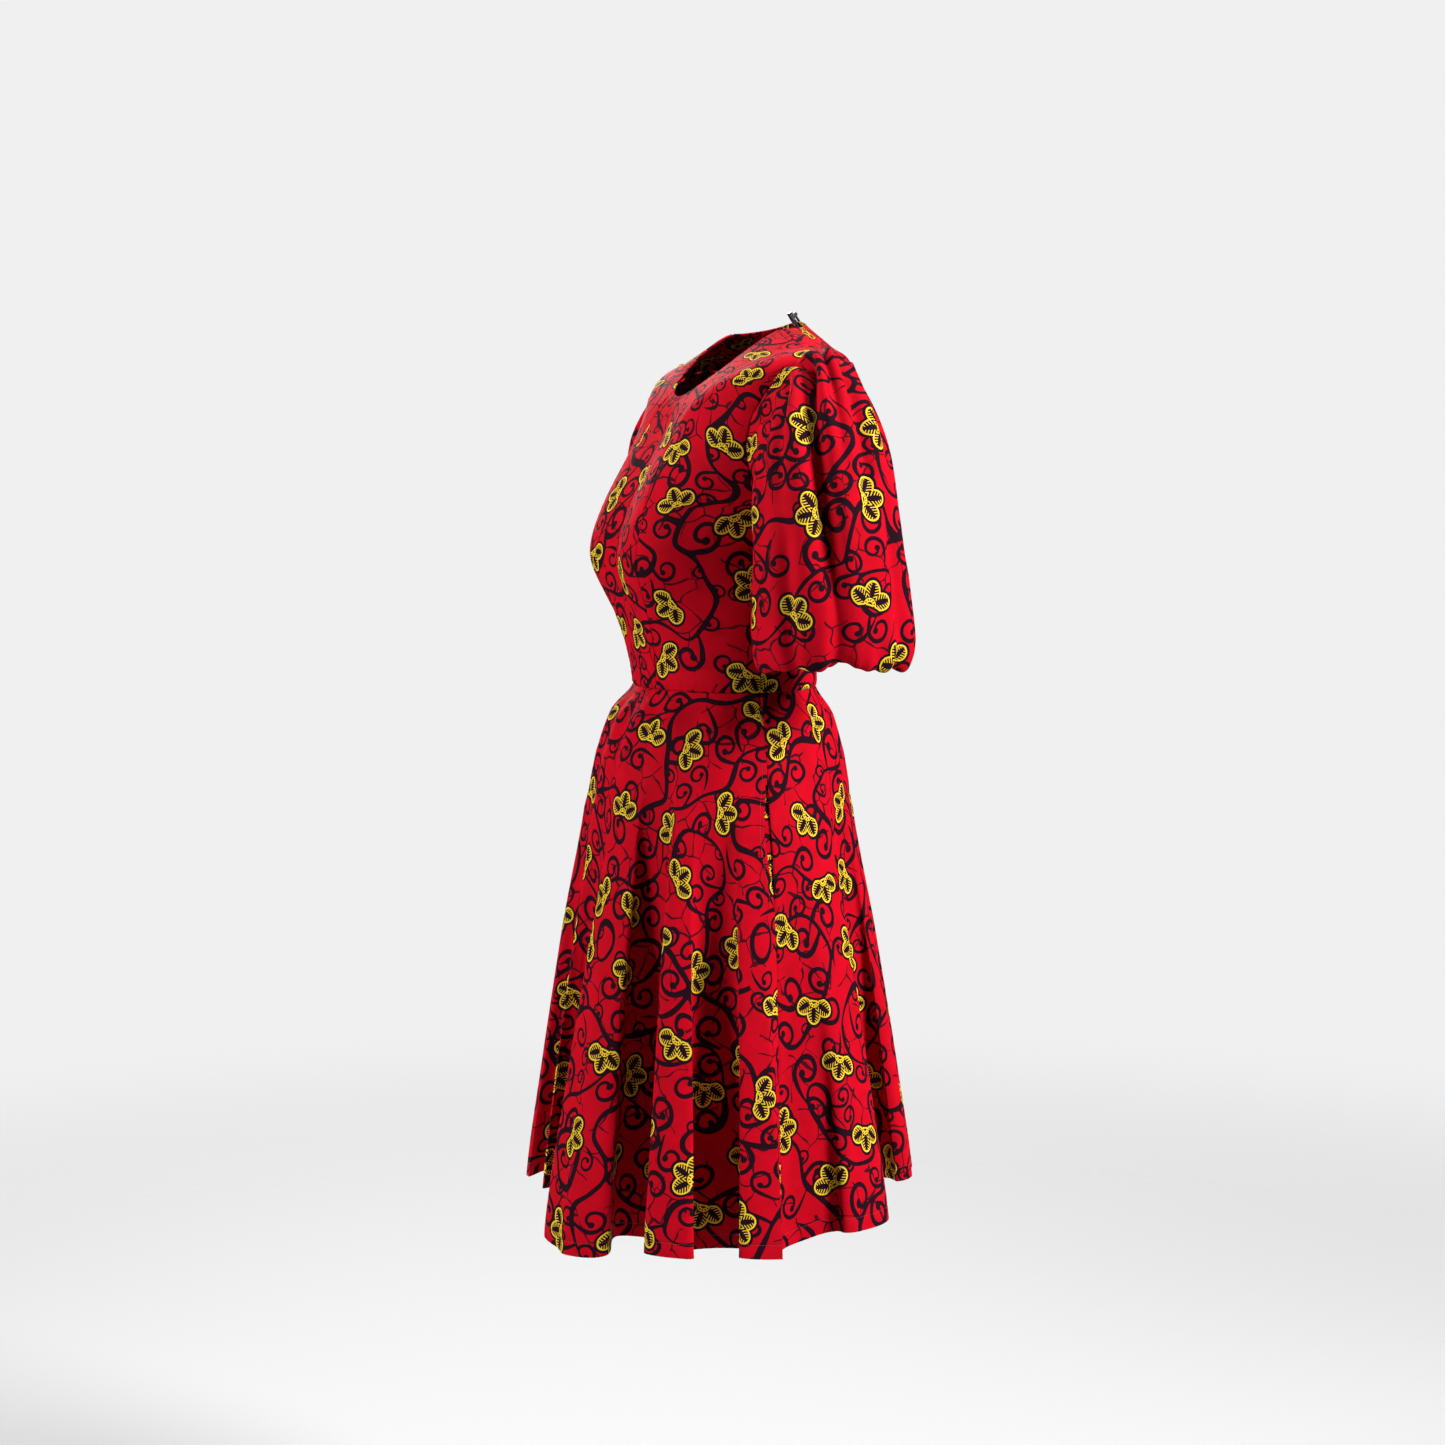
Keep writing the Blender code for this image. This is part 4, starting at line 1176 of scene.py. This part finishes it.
def vine_slope(g, place):
    """The vine field at a place and its steepest rise, by small steps."""
    here = vine_field(g, place)
    side = vine_field(g, g.vector("ADD", place, (STEP, 0, 0)))
    up = vine_field(g, g.vector("ADD", place, (0, STEP, 0)))
    return here, g.joined((side - here) / STEP, (up - here) / STEP)


def vine_distance(g, place, cloth):
    """Signed height of the winding stems' field, and the distance to the stems' edge."""
    here, rise = vine_slope(g, place)
    away = abs(here) / (g.measure("LENGTH", rise) + VINE_STEADY)
    width = g.noise(cloth, VINE_WIDTH_SCALE) * VINE_THICKENING + VINE_THIN
    return here, away - width


def curl_distance(g, place, here):
    """Distance to the edge of the curls, from the two cells nearest to each place."""
    nearest = one_curl(g, place, here, g.cells(place, CURL_CELLS, CURL_SCATTER, "F1"))
    second = one_curl(g, place, here, g.cells(place, CURL_CELLS, CURL_SCATTER, "F2"))
    return g.least(nearest, second)


def one_curl(g, place, here, spot):
    """A curl round one cell's point, as large as its neighbours and the nearest stem allow."""
    centre = spot["Position"]
    at, slope = vine_slope(g, centre)
    reach = abs(at) / (g.measure("LENGTH", slope) + CURL_STEADY)
    room = Value(g, g.cells(centre, CURL_CELLS, CURL_SCATTER, "N_SPHERE_RADIUS")["Radius"])
    room = room * (1 / CURL_CELLS) - CURL_ROOM
    size = g.least(g.least(room, reach + STEM_OVERLAP) / CURL_OUT, CURL_MOST)
    grown = g.most(size, CURL_LEAST)
    ahead = g.scaled(g.vector("NORMALIZE", slope), g.math("SIGN", at) * -1.0)
    across = g.vector("CROSS_PRODUCT", ahead, (0, 0, 1))
    hand = g.math("SIGN", g.chance(spot) - 0.5)
    local = g.scaled(g.vector("SUBTRACT", place, centre), 1.0 / grown)
    x = g.measure("DOT_PRODUCT", local, across) * hand
    y = g.measure("DOT_PRODUCT", local, ahead)
    curl = curl_shape(g, x, y, g.measure("LENGTH", local)) * grown
    return curl + g.most(here * at < 0.0, size < CURL_LEAST)


def curl_shape(g, x, y, radius):
    """Distance to the edge of a spiral that starts at a ball and leaves in a pointed tail."""
    share = g.math("FRACT", g.math("ARCTAN2", y, x) / FULL_TURN)
    path = share * (CURL_OUT - CURL_IN) + CURL_IN
    half = share * (CURL_THICK - CURL_THIN) + CURL_THIN
    spiral = abs(radius - path) - half
    ball = g.measure("DISTANCE", g.joined(x, y), (CURL_IN, 0, 0)) - BALL
    taper = y / TAIL_LONG
    taper = taper * taper * -CURL_THICK + CURL_THICK
    tail = abs(x + y * y * TAIL_LEAN - CURL_OUT) - taper
    return g.least(g.least(spiral, ball), g.most(tail, y * -1.0))


def flower_masks(g, cloth):
    """Dark ground of the fan-shaped flowers, and the yellow drawn on it."""
    spot = g.cells(cloth, FLOWER_CELLS, FLOWER_SCATTER)
    local = g.scaled(g.vector("SUBTRACT", cloth, spot["Position"]), 1 / FLOWER_SIZE)
    angle = g.chance(spot) * FULL_TURN
    local = g.node("ShaderNodeVectorRotate", local, None, None, angle, rotation_type="Z_AXIS")[0]
    cut = CUT_RADIUS - g.measure("DISTANCE", local, (0, CUT_TOP - CUT_RADIUS, 0))
    x, y, _ = g.parts(g.vector("ADD", local, (0, HUB_DOWN, 0)))
    radius = g.measure("DISTANCE", local, (0, -HUB_DOWN, 0))
    around = g.math("ARCTAN2", x, y)
    petal, veins = petal_marks(g, radius, around)
    shape = g.most(g.least(petal, radius - HUB_RADIUS), cut)
    rim = abs(g.most(petal, cut) + FLOWER_RIM) < FLOWER_RIM
    fan = g.most(rim, veins) * (radius > HUB_RADIUS)
    yellow = g.most(fan, hub_marks(g, radius, around, cut))
    return shape < FLOWER_OUTLINE, yellow * (shape < 0.0)


def petal_marks(g, radius, around):
    """Distance to the edge of the nearest petal, and its veins on both sides of a leafy spine."""
    which = g.most(g.least(g.math("ROUND", around / PETAL_STEP), 1.0), -1.0)
    bend = which * -PETAL_STEP + around
    across = radius * g.math("SINE", bend)
    along = radius * g.math("COSINE", bend)
    share = (along - PETAL_OUT) / PETAL_LONG
    edge = (g.measure("LENGTH", g.joined(across / PETAL_WIDE, share)) - 1.0) * PETAL_WIDE
    side = abs(across)
    slant = side * -VEIN_SLANT + along
    hatch = g.math("SINE", slant * (FULL_TURN / VEIN_SPACING)) > VEIN_GAP
    leaf = (1.0 - share * share) * SPINE
    return edge, hatch * (edge < -FLOWER_RIM) * (side > leaf)


def hub_marks(g, radius, around, cut):
    """The yellow arch at a flower's foot, with dark dots along it and a small dark core."""
    band = abs(radius - DOT_RING) < DOT_HALF
    dots = g.math("COSINE", around * DOT_COUNT) > DOT_GAP
    core = (radius < HUB_CORE) * (cut < -FLOWER_RIM * 2)
    return (radius < HUB_RADIUS) * (1.0 - g.most(dots * band, core))


def crackle(g, cloth):
    """Fine broken lines that the wax leaves in the red ground."""
    place = g.drifted(cloth, CRACKLE_DRIFT_SCALE, CRACKLE_DRIFT, CRACKLE_DRIFT_DETAIL)
    edge = Value(g, g.cells(place, CRACKLE_CELLS, 1.0, "DISTANCE_TO_EDGE")[0])
    width = g.noise(cloth, CRACKLE_WIDTH_SCALE) * CRACKLE_THICKENING + CRACKLE_THIN
    return (edge < width) * (g.noise(cloth, CRACKLE_PATCHES) > CRACKLE_BARE)


def wax_print():
    """Red cotton with dark scrolling stems, yellow flowers, a fine weave and a faint sheen."""
    g = material_graph("wax_print_cotton_print")
    cloth = g.node("ShaderNodeUVMap", uv_map="flat")[0]
    place = g.drifted(cloth, PRINT_DRIFT_SCALE, PRINT_DRIFT)
    here, stems = vine_distance(g, place, cloth)
    lines = g.math("SMOOTH_MIN", stems, curl_distance(g, place, here), JOINT_BLEND)
    ink = g.most(lines < 0.0, crackle(g, cloth) * CRACKLE_STRENGTH)
    ground, yellow = flower_masks(g, cloth)
    mottle = g.noise(cloth, MOTTLE_SCALE, detail=3.0)
    colour = g.mix(g.most(ink, ground), g.mix(mottle, DEEP_RED, BRIGHT_RED), INK)
    colour = g.mix(yellow, colour, YELLOW)
    warp, weft, _ = g.parts(g.scaled(cloth, FULL_TURN / THREAD_SPACING))
    weave = g.math("SINE", warp) * g.math("SINE", weft)
    return g.finish(
        height=weave + g.noise(cloth, SLUB_SCALE, detail=2.0) * SLUB_HEIGHT,
        strength=0.35,
        Base_Color=g.mix(weave * WEAVE_SHADE + WEAVE_SHADE, colour, INK),
        Roughness=mottle * 0.14 + 0.66,
        Specular_IOR_Level=0.035,
        Sheen_Weight=0.02,
        Sheen_Roughness=0.35,
        Sheen_Tint=(1.0, 0.45, 0.6, 1),
    )


def zip_tape_material():
    g = material_graph("zip_tape_weave")
    place = g.node("ShaderNodeTexCoord")["Object"]
    warp, _, weft = g.parts(g.scaled(place, FULL_TURN / TAPE_WEAVE))
    weave = g.math("SINE", warp) * g.math("SINE", weft)
    colour = g.mix(weave * 0.5 + 0.5, TAPE_DARK, TAPE_LIGHT)
    return g.finish(height=weave, strength=0.5, Base_Color=colour, Roughness=0.85)


def zip_metal_material():
    g = material_graph("zip_black_enamel")
    worn = g.noise(g.node("ShaderNodeTexCoord")["Object"], ENAMEL_SCALE, detail=3.0)
    colour = g.mix(worn, ENAMEL_DARK, ENAMEL_WORN)
    return g.finish(Base_Color=colour, Roughness=worn * 0.2 + 0.25, Metallic=0.7)


def thread_material():
    """Dull red sewing thread whose twist shows as fine slanting bands."""
    g = material_graph("sewing_thread")
    slant = g.measure("DOT_PRODUCT", g.node("ShaderNodeTexCoord")["Object"], TWIST_SLANT)
    twist = g.math("SINE", slant * (FULL_TURN / TWIST_LENGTH))
    colour = g.mix(twist * 0.35 + 0.5, THREAD_DARK, THREAD_LIGHT)
    return g.finish(Base_Color=colour, Roughness=twist * 0.08 + 0.55)


def zip_line(offset, depth):
    """A line behind the centre back seam, from the neckline down, with the way out of the body."""
    above, last_level, level_count = ZIP_LEVELS
    level = np.linspace(NECK_LEVEL + above, last_level, level_count)
    drop = np.linspace(*ZIP_DROPS)
    line = []
    outward = []
    for surface, height, sign in ((bodice_surface, level, 1), (skirt_surface, drop, -1)):
        middle = surface(np.full_like(height, BACK_ANGLE), height)
        angle = BACK_ANGLE + np.degrees(offset / (middle[:, 1] + ZIP_BEHIND))
        out = surface_normals(surface, angle, height, sign)
        line.append(surface(angle, height) - out * depth)
        outward.append(out)
    return np.concatenate(line), np.concatenate(outward)


def build_coil(material):
    """The zip's two nylon coils, wound one into the other down the inside of the tape."""
    line, out = zip_line(0.0, TAPE_INSIDE + COIL_RISE)
    run = line_lengths(line)
    way = np.gradient(line, axis=0)
    turns = np.arange(0, run[-1] / COIL_PITCH - 1, 1 / COIL_STEPS)
    paths = []
    upward = []
    for side, ahead in ((1, 0.0), (-1, 0.5)):
        spots = (turns + ahead) * COIL_PITCH
        path = places_at(spots, run, line)
        path[:, 0] += side * (COIL_MIDDLE - COIL_REACH * np.cos(FULL_TURN * turns))
        rise = COIL_RISE * np.sin(FULL_TURN * turns)
        paths.append(path + places_at(spots, run, out) * rise[:, None])
        upward.append(places_at(spots, run, way))
    radius = np.full(len(turns), COIL_WIRE)
    add_tubes("zip_coil", np.array(paths), np.array(upward), radius, material)


def finish_zip(thread):
    tape = zip_tape_material()
    metal = zip_metal_material()
    for node, material in (("zip_tape", tape), ("zip_slider", metal), ("zip_pull", metal)):
        item = bpy.data.objects[node]
        for slot in item.material_slots:
            slot.material = material
        item.data.set_sharp_from_angle(angle=math.radians(METAL_SHARP_ANGLE))
    build_coil(metal)
    rows = [zip_line(side * TAPE_STITCH, TAPE_INSIDE) for side in (-1, 1)]
    add_stitches("zip_stitches", [(line, -out) for line, out in rows], thread)


def from_camera(along, across, up):
    """A place given along the view towards the camera, to its right, and up."""
    azimuth = math.radians(CAMERA_AZIMUTH)
    back = Vector((math.sin(azimuth), -math.cos(azimuth), 0))
    right = Vector((math.cos(azimuth), math.sin(azimuth), 0))
    return back * along + right * across + Vector((0, 0, up))


def place_item(name, data, location, aim):
    """Puts a camera or a lamp in the scene, turned along the aim."""
    item = bpy.data.objects.new(name, data)
    item.location = location
    item.rotation_euler = aim.to_track_quat("-Z", "Y").to_euler()
    bpy.context.scene.collection.objects.link(item)
    return item


def add_camera():
    pitch = math.radians(CAMERA_PITCH)
    data = bpy.data.cameras.new("camera")
    data.lens = CAMERA_LENS
    data.sensor_width = CAMERA_SENSOR
    place = from_camera(CAMERA_DISTANCE, CAMERA_SIDE, CAMERA_HEIGHT)
    aim = -from_camera(math.cos(pitch), 0, math.sin(pitch))
    bpy.context.scene.camera = place_item("camera", data, place, aim)


def add_softbox(box):
    data = bpy.data.lights.new(box.name, "AREA")
    data.shape = "DISK"
    data.size = box.size
    data.energy = box.power
    place = from_camera(box.along, box.across, box.up)
    place_item(box.name, data, place, Vector((0, 0, LIGHT_AIM_Z)) - place)


def add_backdrop():
    """A pale background behind the part, which lights it less than it shows."""
    world = bpy.data.worlds.new("studio")
    bpy.context.scene.world = world
    g = Graph(world)
    shown = g.tree.nodes["Background"]
    g.give(shown.inputs["Color"], BACKDROP)
    cast = g.node("ShaderNodeBackground", (1, 1, 1, 1), SKY_LIGHT)[0]
    seen = g.node("ShaderNodeLightPath")["Is Camera Ray"]
    mixed = g.node("ShaderNodeMixShader", seen, cast, shown.outputs[0])[0]
    g.give(g.tree.nodes["World Output"].inputs[0], mixed)


def floor_material():
    """Pale paper that thins out with the distance, so that no horizon shows."""
    g = material_graph("pale_paper")
    paper = g.finish(Base_Color=FLOOR_TONE, Roughness=0.9, Specular_IOR_Level=0.1)
    place = g.vector("MULTIPLY", g.node("ShaderNodeTexCoord")["Object"], (1, 1, 0))
    limits = (FLOOR_FULL, FLOOR_REACH, 0.0, 1.0)
    away = g.measure("LENGTH", place)
    thin = g.node("ShaderNodeMapRange", away, *limits, interpolation_type="SMOOTHSTEP")[0]
    clear = g.node("ShaderNodeBsdfTransparent")[0]
    opaque = g.tree.nodes["Principled BSDF"].outputs[0]
    mixed = g.node("ShaderNodeMixShader", thin, opaque, clear)[0]
    g.give(g.tree.nodes["Material Output"].inputs[0], mixed)
    return paper


def add_floor():
    corners = [(-1, -1), (1, -1), (1, 1), (-1, 1)]
    points = np.array([(x * FLOOR_REACH, y * FLOOR_REACH, FLOOR_Z) for x, y in corners])
    add_mesh("floor", points, np.array([[0, 1, 2, 3]]), floor_material())


def add_studio():
    add_backdrop()
    add_floor()
    for box in SOFTBOXES:
        add_softbox(box)
    bpy.context.scene.view_settings.view_transform = "Standard"


add_camera()
add_studio()
cotton = wax_print()
red_thread = thread_material()
build_bodice(cotton, red_thread)
build_skirt(cotton, red_thread)
build_pockets(cotton)
build_sleeves(cotton)
finish_zip(red_thread)
